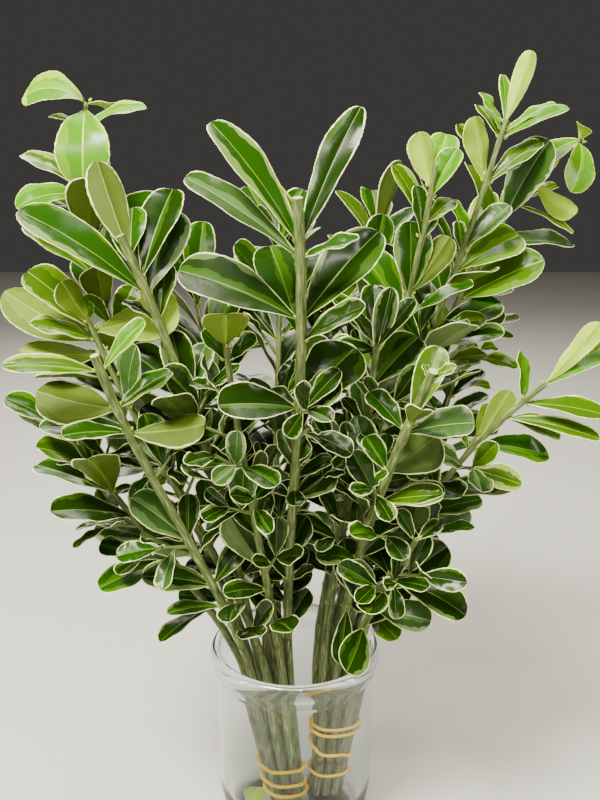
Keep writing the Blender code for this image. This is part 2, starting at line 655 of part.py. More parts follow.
def largest_body(mesh):
    """Leaves only the largest closed body of a mesh, without sealed hollows and scraps."""
    work = bmesh.new()
    work.from_mesh(mesh)
    bmesh.ops.remove_doubles(work, verts=work.verts, dist=0.002 * MM)
    bmesh.ops.triangulate(work, faces=work.faces)
    left, bodies = set(work.faces), []
    while left:
        body, edge = set(), [left.pop()]
        while edge:
            face = edge.pop()
            body.add(face)
            for side in face.edges:
                for other in side.link_faces:
                    if other in left:
                        left.remove(other)
                        edge.append(other)
        bodies.append(body)
    biggest = max(bodies, key=len)
    extra = [face for body in bodies if body is not biggest for face in body]
    bmesh.ops.delete(work, geom=extra, context="FACES")
    open_edges = sum(len(side.link_faces) != 2 for side in work.edges)
    work.to_mesh(mesh)
    work.free()
    return open_edges


def union_of(made, others, solver):
    """The mesh of an object joined with the others by one union on a collection, and its open edges."""
    helpers = bpy.data.collections.new(made.name + " helpers")
    bpy.context.scene.collection.children.link(helpers)
    for k, shape in enumerate(others):
        helpers.objects.link(mesh_object(f"{made.name} helper {k}", shape))
    union = made.modifiers.new("Union", "BOOLEAN")
    union.operation = "UNION"
    union.operand_type = "COLLECTION"
    union.collection = helpers
    union.solver = solver
    graph = bpy.context.evaluated_depsgraph_get()
    graph.update()
    joined = bpy.data.meshes.new_from_object(made.evaluated_get(graph))
    made.modifiers.clear()
    for helper in list(helpers.objects):
        bpy.data.objects.remove(helper)
    bpy.data.collections.remove(helpers)
    return joined, largest_body(joined)


def fused(name, core, others, look):
    """The core and all the others as one closed body; where that leaves a hole, without one of them."""
    made = mesh_object(name, core, look)
    tries = [(others, "EXACT"), (others, "MANIFOLD")]
    tries += [(others[:k] + others[k + 1 :], "EXACT") for k in reversed(range(len(others)))]
    for used, solver in tries:
        joined, holes = union_of(made, used, solver)
        if holes == 0:
            break
    made.data = joined
    made.data.name = name
    return made


def shade(made, angle=35):
    """Smooth round faces and sharp edges."""
    for face in made.data.polygons:
        face.use_smooth = True
    made.data.set_sharp_from_angle(angle=math.radians(angle))


def main():
    for old in list(bpy.data.objects):
        bpy.data.objects.remove(old)
    glass = material("clear glass", (0.93, 0.96, 0.95), 0.03, Transmission_Weight=1.0, IOR=1.5)
    bark = material("green bark", (0.36, 0.42, 0.22), 0.6)
    leafage = material("variegated leaves", (0.10, 0.22, 0.05), 0.32)
    wire = material("yellow wire", (0.80, 0.50, 0.02), 0.35)
    young = material("young leaf", (0.35, 0.55, 0.06), 0.4)

    section = jar_section()
    outline = bpy.data.meshes.new("jar")
    runs = [(k, k + 1) for k in range(len(section) - 1)]
    outline.from_pydata([(radius, 0, height) for radius, height in section], runs, [])
    outline.materials.append(glass)
    jar = bpy.data.objects.new("jar", outline)
    bpy.context.scene.collection.objects.link(jar)
    lathe = jar.modifiers.new("Lathe", "SCREW")
    lathe.steps = lathe.render_steps = 32
    lathe.use_merge_vertices = True
    lathe.merge_threshold = 0.00005
    lathe.use_smooth_shade = True
    graph = bpy.context.evaluated_depsgraph_get()
    turned = jar.evaluated_get(graph).to_mesh()
    jar_shape = ([v.co.copy() for v in turned.vertices], [tuple(face.vertices) for face in turned.polygons])

    branches = {name: branch(name) for name in STEMS}
    kept = arrange(branches, jar_shape)
    for name, grown in branches.items():
        end = marks(grown.points)[-1]
        shade(mesh_object("stem_" + name, stretch(name, grown, 0, grown.leafy, 6, level=True), bark))
        core = stretch(name, grown, grown.leafy + CLEAR, end, 3)
        twigs, leaves = kept[name]
        others = [twig_bar(twig) for twig in twigs] + [leaf_solid(leaf) for leaf in leaves]
        fused("foliage_" + name, core, others, leafage)

    for bunch in BUNCHES:
        path = winding(bunch)
        curve = bpy.data.curves.new("tie_" + bunch, "CURVE")
        curve.dimensions = "3D"
        curve.bevel_depth = WIRE_RADIUS
        curve.bevel_resolution = 1
        curve.use_fill_caps = True
        spline = curve.splines.new("POLY")
        spline.points.add(len(path) - 1)
        for point, spot in zip(spline.points, path):
            point.co = (*spot, 1)
        curve.materials.append(wire)
        tie = bpy.data.objects.new("tie_" + bunch, curve)
        bpy.context.scene.collection.objects.link(tie)

    mesh_object("fallen_leaf", leaf_solid(fallen_leaf()), young)


main()
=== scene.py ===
"""Looks for the variegated euonymus: cut branches in two tied bunches in a short glass jar."""

import math
import random
from collections import namedtuple

import bpy
import numpy as np
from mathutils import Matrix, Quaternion, Vector
from mathutils.bvhtree import BVHTree
from mathutils.geometry import interpolate_bezier


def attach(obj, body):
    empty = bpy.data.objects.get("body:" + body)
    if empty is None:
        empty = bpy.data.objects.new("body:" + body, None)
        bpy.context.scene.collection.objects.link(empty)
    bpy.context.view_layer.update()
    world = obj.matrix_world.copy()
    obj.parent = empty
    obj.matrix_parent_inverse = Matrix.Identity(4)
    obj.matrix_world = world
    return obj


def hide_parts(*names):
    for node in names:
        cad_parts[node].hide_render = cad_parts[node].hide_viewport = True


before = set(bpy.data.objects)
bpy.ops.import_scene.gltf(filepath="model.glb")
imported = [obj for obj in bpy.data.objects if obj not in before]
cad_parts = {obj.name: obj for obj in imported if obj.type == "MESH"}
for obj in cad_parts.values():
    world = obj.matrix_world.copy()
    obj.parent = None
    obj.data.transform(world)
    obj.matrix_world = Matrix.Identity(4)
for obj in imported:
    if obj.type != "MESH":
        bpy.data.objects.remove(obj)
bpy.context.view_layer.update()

CM = 0.01
MM = 0.001
CLEAR = 0.3 * MM

# Jar, in metres
JAR_HEIGHT = 0.115
JAR_WALL = 0.003
JAR_FLOOR = 0.008
BODY_RADIUS = 0.0465
RIM_RADIUS = 0.0505
FOOT_RADIUS = 0.036

# Corners of the jar's wall, in metres: radius and height above the floor inside its foot, then
# outside from the body down to the foot, and how far the lip under the rim stands out of the
# body, and how far below the jar's top
INSIDE_FOOT = ((0.0, 0.0), (0.031, 0.0), (0.038, 0.003), (0.0425, 0.010), (0.0435, 0.022))
OUTSIDE_FOOT = ((0.0465, 0.024), (0.0445, 0.012), (0.042, 0.004))
UNDER_RIM = ((0.0032, 0.009), (0.0012, 0.0115), (0.0018, 0.0135), (0.0, 0.0175))

# Stems and ties, in metres. A stem keeps its radius over the first share of its length, and then
# tapers evenly to a share of it at a cut top or at a grown tip
STEM_RADIUS = 0.0026
STRAIGHT = 0.25
CUT_TIP = 0.95
GROWN_TIP = 0.55
TWIG_RADIUS = 0.0011
THREE_SIDED = 1.15  # a three-sided bar reaches this much further out than the round one
WIRE_RADIUS = 0.001
LEAFY_HEIGHT = 0.123

# Each bunch, in cm: the middle of its feet, of its tie and of its place in the jar's mouth,
# and the turn of its seats in degrees
FOOT_Z = 0.83
MOUTH_Z = 9.3
Bunch = namedtuple("Bunch", "foot tie mouth turn")
BUNCHES = {
    "left": Bunch((-0.28, -1.05, FOOT_Z), (-0.60, -1.05, 2.9), (-1.5, -1.0, MOUTH_Z), 6.0),
    "right": Bunch((1.78, 0.85, FOOT_Z), (2.08, 0.85, 3.5), (2.5, 0.75, MOUTH_Z), 0.0),
}
PITCH = 0.56
SPREAD = 1.45

# Heights in cm of each tie's wire at the back of its bunch, where it starts and after each turn
WINDINGS = {"left": (4.9, 3.8, 2.8, 2.3), "right": (6.45, 6.05, 5.5, 3.1, 2.3)}

# Ten stems stand in a bunch as on a triangular lattice
ROW = math.sqrt(3) / 2
SEATS = (
    (-1.5, 0), (-0.5, 0), (0.5, 0), (1.5, 0), (-1, -ROW),
    (0, -ROW), (1, -ROW), (-1, ROW), (0, ROW), (1, ROW),
)

# Share of the leaves below the top that have a short side shoot beside them. A shoot's length in
# cm and, for each of its pairs, how far along it stands, its leaves' length in cm and their lift
SHOOTS = 0.05
SHOOT_LENGTH = (1.2, 2.4)
SHOOT_LIFT = (35, 60)
SHOOT_PAIRS = ((0.55, 2.4, 30), (0.98, 2.0, 55))
SHOOT_SIZES = (0.8, 1.3)

# How far below a cut top the highest pair stands, how far the rule starts below the pairs that are
# given, and how far below the tip leaves are full-grown, all in cm
BELOW_CUT = 0.9
AFTER_GIVEN = (1.0, 1.6)
FULL_GROWN = 6.0

# From where a branch gets leafy up to its tip, as (share of the way, value): how long its leaves
# are and how far it is from one pair to the next, both in cm, and how far they lift, in degrees
LONG_UP = ((0, 3.3), (0.3, 4.1), (0.7, 5.2), (0.92, 4.6), (1, 3.4))
STEP_UP = ((0, 2.5), (0.25, 2.0), (0.5, 1.75), (0.8, 1.7), (1, 1.2))
LIFT_UP = ((0, 16), (0.3, 30), (0.7, 44), (1, 62))

# How leaves differ: their width as a share of their length, how far they curl, fold up their
# halves and roll aside, in degrees, and how much more or less than others they heed the light
WIDTHS = (0.4, 0.58)
CURLS = (8, 42)
FOLDS = (4, 16)
ROLL = 25
HEEDS = 0.3

# How far pairs stray from a quarter turn and leaves from their lift, and one leaf from being
# opposite its other, in degrees, and how much leaves and steps between pairs vary in length
STRAY = 12
SKEW = 6
SIZES = (0.82, 1.15)
STEPS = (0.85, 1.15)

# How far a stem first keeps to its bunch's lean, and where its bend is, as shares of its span
LEAD = 0.27
PULL = 0.66

# Each branch: its bunch and seat, where its tip is and how far it bows aside (cm), whether its
# top is cut, and how large its leaves grow
Stem = namedtuple("Stem", "bunch seat tip arch cut vigour")
STEMS = {
    "front_centre": Stem("left", 3, (0.2, -8.0, 37.4), (0.9, -0.9, 0), True, 1.0),
    "left_front": Stem("left", 4, (-9.4, -6.0, 30.1), (-1.0, 0, 0.6), True, 0.95),
    "left_upper": Stem("left", 1, (-8.4, -3.5, 35.5), (1.35, 0, 0.5), True, 1.0),
    "left_inner": Stem("left", 6, (-3.2, -6.0, 30.6), (-0.3, 0, 0), False, 0.85),
    "left_crest": Stem("left", 7, (-11.0, 2.0, 42.0), (-5.4, 0, 0), False, 1.0),
    "left_far": Stem("left", 5, (-10.5, -2.5, 31.3), (-0.6, 0, 0), False, 1.0),
    "left_low": Stem("left", 0, (-12.2, -2.5, 25.7), (-0.5, 0, 0), False, 0.9),
    "back_left": Stem("left", 2, (-6.7, 9.0, 32.5), (0, 0, 0), False, 1.0),
    "back_centre": Stem("left", 9, (-0.9, 6.5, 35.5), (0, 0, 0), False, 1.0),
    "back_inner": Stem("left", 8, (2.4, 12.5, 30.5), (0, 0, 0), False, 0.95),
    "right_inner": Stem("right", 4, (4.2, -3.0, 29.9), (0.1, 0, 0), False, 0.85),
    "right_front": Stem("right", 5, (6.3, -8.0, 29.8), (-1.0, 0, 0), True, 0.9),
    "right_low": Stem("right", 6, (6.2, -5.5, 20.5), (-0.4, 0, 0), False, 0.95),
    "right_arching": Stem("right", 3, (12.9, -3.0, 28.0), (-2.5, 0.6, 1.0), False, 1.0),
    "right_crest": Stem("right", 1, (11.2, 2.0, 41.1), (0.3, 0, 0), False, 0.9),
    "right_far": Stem("right", 2, (16.2, 5.0, 40.3), (-2.2, 0, 7.0), False, 0.9),
    "right_upper": Stem("right", 0, (7.2, -0.5, 38.8), (0.9, 0, 0), False, 0.9),
    "right_side": Stem("right", 9, (10.3, 6.0, 34.4), (3.8, 0, 0), False, 0.9),
    "back_low": Stem("right", 8, (8.0, 12.5, 24.5), (0, 0, 0.8), False, 0.9),
    "back_right": Stem("right", 7, (5.5, 11.0, 36.0), (0, 0, 0), False, 1.0),
}

# Where the front is seen from, in cm, and how far down it looks from there, in degrees
EYE = Vector((0.3, -45.3, 38.4))
EYE_DOWN = 14.9

# The leaves that show best from the front. For each pair: how far below the stem's tip it stands,
# then one leaf or both. A leaf is how far its tip reaches right of its root, above it and nearer
# than it as seen from the front (all cm), its width as a share of its length and, where they
# aren't plain, how far it curls (degrees) and how far it heeds the light: below 0 it is turned over
SHOWN = {
    "front_centre": (
        (2.1, (2.7, 6.2, -0.6, 0.23), (-3.8, 5.3, 0.9, 0.32)),
        (2.7, (-4.9, 3.5, 1.4, 0.34, 20), (2.5, 0.9, 1.2, 0.40)),
        (5.7, (-5.5, 2.3, 1.0, 0.56), (3.6, 4.2, -0.6, 0.47)),
        (6.8, (-1.5, 4.7, -1.5, 0.46)),
        (10.4, (-4.0, 0.7, 0.9, 0.62), (2.8, 3.0, -0.8, 0.75)),
        (10.8, (2.0, 1.7, 1.0, 0.74, 20, 0.9)),
        (13.7, (0.5, 1.3, 0.8, 0.85)),
        (14.2, (-0.7, 2.1, 0.4, 0.55)),
        (14.8, (-1.5, 0.3, 0.7, 0.60), (1.9, 1.1, 0.4, 0.42)),
        (15.4, (0.1, -0.9, 0.7, 0.95)),
        (16.1, (2.3, 1.2, 0.5, 0.66)),
        (20.0, (0.9, 2.1, 0.6, 0.66)),
        (22.0, (-1.9, 2.1, 0.7, 0.50, 60)),
        (23.6, (-2.0, 1.0, 0.8, 0.50)),
        (25.2, (-1.9, 0.9, 0.7, 0.50), (1.2, 2.1, 0.5, 0.60)),
    ),
    "left_front": (
        (0.9, (2.0, 2.4, 1.3, 0.32, 20, 1.0), (-4.6, 0.3, 1.2, 0.33)),
        (3.0, (-4.0, 0.9, -0.8, 0.60, 24, -0.9)),
        (4.4, (-3.4, 0.1, 1.6, 0.42), (3.7, 0.4, 0.9, 0.50, 24, -0.9)),
        (11.6, (-3.0, 2.3, 1.0, 0.58)),
        (12.7, (-3.0, 1.4, -0.5, 0.45, 24, -0.9)),
        (14.8, (-3.8, 0.5, 1.2, 0.52)),
    ),
    "left_upper": (
        (1.2, (-1.7, 4.9, -1.0, 0.34, 16, -0.9), (0.1, 2.6, -1.6, 0.50)),
        (2.4, (2.1, 4.8, -0.8, 0.42), (-0.7, 3.3, -1.4, 0.52)),
        (3.2, (-6.2, 4.1, 1.6, 0.40)),
        (4.7, (0.4, 3.0, -0.8, 0.42)),
        (9.0, (-3.2, 2.6, 0.3, 0.60)),
        (9.4, (-1.0, 3.9, 0.6, 0.42)),
    ),
    "left_inner": (
        (0.1, (0.0, 1.5, 2.0, 0.90, 16)),
        (0.9, (-1.2, 1.5, 0.6, 0.60), (1.3, 1.3, 0.4, 0.60)),
        (8.6, (1.2, 2.1, 1.0, 0.28, 16, -0.9)),
        (11.4, (-1.6, 2.6, 0.5, 0.52), (0.5, 2.6, -0.3, 0.42)),
        (13.5, (-1.9, 2.9, 0.6, 0.55, 24, -0.9)),
    ),
    "left_crest": (
        (0.0, (-3.3, 0.2, 0.6, 0.95, 100, 0.9)),
        (0.3, (-0.1, -3.9, 1.5, 0.60, 80, 0.9)),
        (1.4, (3.3, 1.2, 0.2, 0.50, 50)),
        (4.4, (-3.2, 1.9, -0.6, 0.42)),
        (4.8, (-3.5, -0.6, 1.4, 0.60, 60, 0.9)),
        (5.8, (-2.2, 1.3, 1.0, 0.50)),
    ),
    "left_far": (
        (0.3, (-1.4, 2.1, 1.2, 0.60, 20, -0.9)),
        (0.7, (-3.3, 3.0, 0.8, 0.60), (4.0, 0.2, 1.4, 0.62, 24, -0.8)),
        (1.3, (-3.4, 0.9, 1.4, 0.46), (-4.9, 2.6, -0.8, 0.44, 24, -0.9)),
        (2.0, (-4.4, 0.2, -0.8, 0.45, 24, -0.9)),
    ),
    "left_low": (
        (0.3, (-3.1, 1.6, 0.8, 0.50)),
    ),
    "right_inner": (
        (0.1, (-1.2, 1.9, 0.2, 0.42), (1.9, 2.5, 0.6, 0.36)),
        (0.5, (-0.1, 3.7, -0.5, 0.42), (0.8, 3.5, 0.4, 0.34)),
        (2.3, (2.5, 2.7, -0.3, 0.62)),
        (4.4, (2.5, 1.9, 0.8, 0.34)),
        (7.6, (-2.2, 3.2, 0.4, 0.48)),
    ),
    "right_front": (
        (0.5, (1.2, 0.6, 0.7, 0.50)),
        (3.3, (1.5, 3.8, -0.6, 0.36)),
        (3.8, (3.2, 0.5, 1.3, 0.62)),
        (6.6, (2.4, 1.9, 1.0, 0.80, 20, -0.9)),
        (8.8, (3.3, 0.4, 1.6, 0.42)),
        (9.4, (-0.9, 4.9, 0.6, 0.36)),
        (13.3, (2.3, 2.3, -0.4, 0.50)),
        (16.2, (-0.9, 3.2, 0.8, 0.60)),
        (17.2, (-0.4, -3.3, 0.5, 0.38)),
    ),
    "right_low": (
        (0.2, (1.3, 1.0, -0.4, 0.50), (-0.9, 1.6, 0.5, 0.50)),
        (3.7, (3.9, -1.9, 1.5, 0.48, 50)),
    ),
    "right_arching": (
        (0.3, (3.0, 3.3, 0.6, 0.26, 20, -0.9), (3.3, 2.2, -0.7, 0.36)),
        (1.6, (4.3, -0.6, 0.8, 0.40)),
        (2.8, (4.9, -1.1, 1.2, 0.28), (3.0, -0.9, -0.7, 0.50)),
        (4.9, (2.1, 2.6, 0.8, 0.40, 20, -0.9), (3.9, -0.6, -0.6, 0.48)),
        (8.7, (4.5, 0.5, 1.0, 0.42)),
        (10.4, (3.6, 0.9, -0.6, 0.42)),
    ),
    "right_crest": (
        (0.2, (1.4, 3.9, 0.5, 0.26, 16, -0.9), (-0.1, 2.7, -0.5, 0.26)),
        (0.6, (-1.2, 2.1, 0.6, 0.50), (2.9, 1.5, -0.3, 0.28)),
        (1.0, (3.6, 1.7, 0.8, 0.36)),
        (3.1, (-1.6, 3.0, -0.5, 0.36)),
        (3.4, (-0.6, 3.6, 0.9, 0.42, 16, -0.9), (3.0, 2.3, 0.3, 0.42)),
        (7.2, (2.6, 2.6, 0.4, 0.45)),
    ),
    "right_far": (
        (0.0, (-2.9, -1.8, 0.6, 0.42, 50)),
        (0.2, (0.2, 0.9, 1.5, 0.70, 90), (-0.4, -2.8, 1.0, 0.60, 70)),
        (3.6, (2.3, -1.9, 0.6, 0.62, 24, -0.9)),
        (5.3, (3.2, -1.6, 1.0, 0.30), (2.6, 1.1, -0.5, 0.30)),
    ),
    "right_upper": (
        (1.2, (-0.6, 2.9, 0.9, 0.54, 16, -0.9), (0.8, 2.9, -0.8, 0.50)),
        (1.7, (1.4, 2.6, 0.3, 0.50)),
        (3.0, (-1.6, 3.1, 0.2, 0.44)),
        (3.8, (-0.3, 2.8, 0.9, 0.52)),
        (6.8, (0.1, 3.9, 1.0, 0.62), (2.2, 3.1, 0.8, 0.40, 24, -0.9)),
    ),
    "right_side": (
        (0.6, (-1.0, 3.1, 0.8, 0.58), (1.4, 3.7, -0.3, 0.42)),
        (2.8, (3.1, 2.5, 0.5, 0.36), (3.3, 1.6, -0.5, 0.32)),
        (5.3, (2.2, 1.5, 0.8, 0.62, 24, -0.9)),
        (5.7, (3.3, 1.3, 0.3, 0.32), (3.0, 0.2, -0.5, 0.36)),
        (9.4, (2.2, 1.6, 0.3, 0.50)),
        (10.9, (2.9, 1.6, 0.8, 0.42)),
    ),
}

# What a leaf of these has where only its reach and width are given, its curl and its heed, and
# how far its halves are folded up, in degrees
PLAIN = (24, 0.65)
FOLD = 10

# Where only one leaf of a pair shows: how far the other one leans away from the viewer, and its
# length as a share of the one that shows
HIDDEN = 0.7
OTHERS = (0.55, 0.85)

TO_LIGHT = Vector((0.1, -0.6, 0.8)).normalized()

# Other ways for a leaf that meets a neighbour to stand: turn and lift, in degrees
SHIFTS = ((0, 0), (0, 12), (14, 0), (-14, 0), (0, -12), (22, 10), (-22, 10), (32, -6), (-32, -6))

# A bud holds all that its leaf draws at random, so that the leaf can be opened again elsewhere
Bud = namedtuple("Bud", "spot along way length width curl fold heed roll age twig shown")
Leaf = namedtuple("Leaf", "base axis face length width curl fold age")
Twig = namedtuple("Twig", "start end")
Branch = namedtuple("Branch", "points leafy buds twigs")


def centreline(stem, count=10):
    """Foot, tie and then a curve from the jar's mouth to the tip."""
    bunch = BUNCHES[stem.bunch]
    u, v = SEATS[stem.seat]
    turn = math.radians(bunch.turn)
    seat = PITCH * (Quaternion((0, 0, 1), turn) @ Vector((u, v, 0)))
    foot, tie = Vector(bunch.foot) + seat, Vector(bunch.tie) + seat
    mouth, tip = Vector(bunch.mouth) + SPREAD * seat, Vector(stem.tip)
    lead = mouth + (mouth - tie).normalized() * (tip - mouth).length * LEAD
    pull = mouth + PULL * (tip - mouth) + Vector(stem.arch)
    curve = interpolate_bezier(mouth, lead, pull, tip, count)
    return [CM * p for p in (foot, tie, *curve)]


def marks(points):
    """Distance along the points from the first to each."""
    reached = [0.0]
    for a, b in zip(points, points[1:]):
        reached.append(reached[-1] + (b - a).length)
    return reached


def place(points, distance):
    """Point and direction at a distance along the points."""
    reached = marks(points)
    k = max(j for j in range(len(points) - 1) if j == 0 or reached[j] <= distance)
    share = (distance - reached[k]) / (reached[k + 1] - reached[k])
    return points[k].lerp(points[k + 1], share), (points[k + 1] - points[k]).normalized()


def mark_at_height(points, height):
    """Distance along the points where they first rise to a height."""
    reached = marks(points)
    k = next(j for j, point in enumerate(points) if point.z > height)
    share = (height - points[k - 1].z) / (points[k].z - points[k - 1].z)
    return reached[k - 1] + share * (reached[k] - reached[k - 1])


def between(value, *pairs):
    """A value read from a line through (at, value) pairs."""
    return float(np.interp(value, [a for a, _ in pairs], [b for _, b in pairs]))


def outward(direction, turn, lift):
    """The way that points aside from a stem at a turn about it, lifted towards its tip."""
    right = (Vector((1, 0, 0)) - direction.x * direction).normalized()
    turn, lift = math.radians(turn), math.radians(lift)
    aside = math.cos(turn) * right + math.sin(turn) * direction.cross(right)
    return math.cos(lift) * aside + math.sin(lift) * direction


def bud(rng, spot, along, way, length, age, heed=0.6, twig=None):
    """A bud's own differences from its neighbours, in a fixed number of random draws."""
    width = length * rng.uniform(*WIDTHS)
    curl = rng.uniform(*CURLS)
    fold = rng.uniform(*FOLDS)
    heed = heed + rng.uniform(-HEEDS, HEEDS)
    roll = rng.uniform(-ROLL, ROLL)
    return Bud(spot, along, way, length * CM, width * CM, curl, fold, heed, roll, age, twig, False)


def shown_bud(spot, along, leaf, age):
    """The bud of a leaf that is given by its looks from the front."""
    right, up, near, ratio, curl, heed = leaf + PLAIN[len(leaf) - 4 :]
    down = math.radians(EYE_DOWN)
    sight = (CM * EYE - spot).normalized()
    reach = CM * (Vector((right, up * math.sin(down), up * math.cos(down))) + near * sight)
    width = ratio * reach.length
    return Bud(spot, along, reach.normalized(), reach.length, width, curl, FOLD, heed, 0, age, None, True)


def opened(bud, shift=(0, 0)):
    """The bud's leaf: it arches over its reach, and its face lies between its stem's tip and the light."""
    way = Quaternion(bud.along, math.radians(shift[0])) @ bud.way
    way = Quaternion(way.cross(bud.along).normalized(), math.radians(shift[1])) @ way
    own = bud.along - bud.along.dot(way) * way
    lit = TO_LIGHT - TO_LIGHT.dot(way) * way
    face = (1 - abs(bud.heed)) * own / max(own.length, 0.3) + bud.heed * lit / max(lit.length, 0.3)
    face = Quaternion(way, math.radians(bud.roll)) @ (face - face.dot(way) * way).normalized()
    half = 0.5 * math.radians(bud.curl)
    axis = math.cos(half) * way + math.sin(half) * face
    face = math.cos(half) * face - math.sin(half) * way
    length = bud.length * half / math.sin(half)
    return Leaf(bud.spot, axis, face, length, bud.width, bud.curl, bud.fold, bud.age)


def sprout(rng, buds, twigs, spot, along, turn):
    """A short side twig with two pairs of small leaves."""
    way = outward(along, turn, rng.uniform(*SHOOT_LIFT))
    length = rng.uniform(*SHOOT_LENGTH) * CM
    twigs.append(Twig(spot, spot + length * way))
    around = rng.uniform(0, 180)
    for share, size, lift in SHOOT_PAIRS:
        for side in (0, 180):
            own = size * rng.uniform(*SHOOT_SIZES)
            aim = outward(way, around + side, lift)
            buds.append(bud(rng, spot + share * length * way, way, aim, own, 0.75, twig=len(twigs) - 1))
        around += 90


def branch(name):
    """One branch as it would grow with nothing in its way."""
    stem = STEMS[name]
    points = centreline(stem)
    length = marks(points)[-1]
    rng = random.Random("euonymus " + name)
    leafy = mark_at_height(points, LEAFY_HEIGHT)
    buds, twigs = [], []
    below, turn = (BELOW_CUT if stem.cut else 0.0), rng.uniform(0, 360)
    for below, *pair in SHOWN.get(name, ()):
        spot, along = place(points, length - below * CM)
        age = min(1.0, below / FULL_GROWN)
        buds += [shown_bud(spot, along, leaf, age) for leaf in pair]
        if len(pair) == 1:
            sight = (CM * EYE - spot).normalized()
            across = (Quaternion(along, math.pi) @ buds[-1].way - HIDDEN * sight).normalized()
            size = buds[-1].length / CM * rng.uniform(*OTHERS)
            buds.append(bud(rng, spot, along, across, size, age))
    span = (length - leafy) / CM
    below += rng.uniform(*AFTER_GIVEN)
    while below < span - 0.3:
        turn += 90 + rng.uniform(-STRAY, STRAY)
        spot, along = place(points, length - below * CM)
        up = 1 - below / span
        size = stem.vigour * between(up, *LONG_UP)
        lift = between(up, *LIFT_UP)
        for side in (0, 180):
            own = size * rng.uniform(*SIZES)
            around = turn + side + rng.uniform(-SKEW, SKEW)
            way = outward(along, around, lift + rng.uniform(-STRAY, STRAY))
            buds.append(bud(rng, spot, along, way, own, min(1.0, below / FULL_GROWN)))
            if rng.random() < SHOOTS and up < 0.6:
                sprout(rng, buds, twigs, spot, along, turn + side + rng.uniform(-2 * STRAY, 2 * STRAY))
        below += between(up, *STEP_UP) * rng.uniform(*STEPS)
    return Branch(points, leafy, buds, twigs)


# Outline of a leaf's solid: shares of its length and of its half width, from the root up one
# side, round the tip and back to the root
OUTLINE = ((0.5, -0.95), (0.97, -0.42), (0.97, 0.42), (0.5, 0.95))
SUNK = 0.5 * MM

# How near the root of a twig or a leaf its own mass may be, and how near its ends a bar has no ring
NEAR_TWIG = 4 * MM
NEAR_LEAF = 9 * MM
NEAR_END = 4 * MM


def thickness(leaf):
    """Of the leaf at its root."""
    return max(1.7 * MM, leaf.length / 30)


def on_leaf(leaf, along, aside, lift=0.0):
    """A point of the bent and folded leaf, at shares of its length and of its half width."""
    bend = math.radians(leaf.curl)
    out = leaf.length * math.sin(bend * along) / bend
    down = leaf.length * (1 - math.cos(bend * along)) / bend
    raised = abs(aside) * 0.5 * leaf.width * math.tan(math.radians(leaf.fold)) + lift - down
    side = leaf.face.cross(leaf.axis)
    return leaf.base + out * leaf.axis + raised * leaf.face + aside * 0.5 * leaf.width * side


def leaf_solid(leaf):
    """A leaf as a closed wedge: thick at its root, which is sunk in its stem, thin round its edge."""
    half = 0.5 * thickness(leaf)
    root = leaf.base - SUNK * leaf.axis
    corners = [root + half * leaf.face, root - half * leaf.face]
    corners += [on_leaf(leaf, along, aside) for along, aside in OUTLINE]
    last = len(corners) - 1
    faces = [(0, last, 1), (0, 1, 2)]
    for k in range(2, last):
        faces += [(0, k, k + 1), (1, k + 1, k)]
    return corners, faces


def leaf_guard(leaf, room=CLEAR):
    """A slightly larger plate round the leaf, which nothing else may touch."""
    half = 0.5 * thickness(leaf) + room
    wide = (leaf.width + 4 * room) / leaf.width
    long = 1 + 2 * room / leaf.length
    top, low = [leaf.base + half * leaf.face], [leaf.base - half * leaf.face]
    for along, aside in OUTLINE:
        top.append(on_leaf(leaf, along * long, aside * wide, 1.3 * room))
        low.append(on_leaf(leaf, along * long, aside * wide, -1.3 * room))
    count = len(top)
    faces = []
    for k in range(1, count - 1):
        faces += [(0, k, k + 1), (count, count + k + 1, count + k)]
    for k in range(count):
        after = (k + 1) % count
        faces.append((k, count + k, count + after, after))
    return top + low, faces


def tube(points, radii, sides, level=False):
    """A closed bar along the points, with a flat end at each; level cuts the first one level."""
    corners, faces = [], []
    across = (points[1] - points[0]).orthogonal().normalized()
    for k, (point, radius) in enumerate(zip(points, radii)):
        ahead = (points[min(k + 1, len(points) - 1)] - points[max(k - 1, 0)]).normalized()
        across = (across - across.dot(ahead) * ahead).normalized()
        other = ahead.cross(across)
        for j in range(sides):
            angle = 2 * math.pi * j / sides
            corner = point + radius * (math.cos(angle) * across + math.sin(angle) * other)
            if level and k == 0:
                corner -= ahead * (corner.z - point.z) / ahead.z
            corners.append(corner)
    for k in range(len(points) - 1):
        for j in range(sides):
            a, b = k * sides + j, k * sides + (j + 1) % sides
            faces.append((a, b, b + sides, a + sides))
    faces.append(tuple(reversed(range(sides))))
    faces.append(tuple(range(len(corners) - sides, len(corners))))
    return corners, faces


def stretch(name, grown, start, end, sides, more=0.0, level=False):
    """The branch's own bar from one distance along it to another."""
    reached = marks(grown.points)
    inner = [mark for mark in reached if start + NEAR_END < mark < end - NEAR_END]
    stops = [start, *inner, end]
    tip = CUT_TIP if STEMS[name].cut else GROWN_TIP
    full = STEM_RADIUS * (THREE_SIDED if sides == 3 else 1.0)
    radii = [more + full * between(stop / reached[-1], (STRAIGHT, 1.0), (1.0, tip)) for stop in stops]
    return tube([place(grown.points, stop)[0] for stop in stops], radii, sides, level)


def twig_bar(twig, more=0.0):
    """A side twig: a slender three-sided bar, a little thinner at its end."""
    return tube([twig.start, twig.end], [TWIG_RADIUS + more, 0.8 * TWIG_RADIUS + more], 3)


# One accepted or fixed thing: the mass that it belongs to, where it starts, its box and its tree
Taken = namedtuple("Taken", "owner spot low high tree")


def taken(owner, spot, shape):
    """The shape as a thing that others keep clear of."""
    corners, faces = shape
    low = [min(c[k] for c in corners) for k in range(3)]
    high = [max(c[k] for c in corners) for k in range(3)]
    return Taken(owner, spot, low, high, BVHTree.FromPolygons(corners, faces))


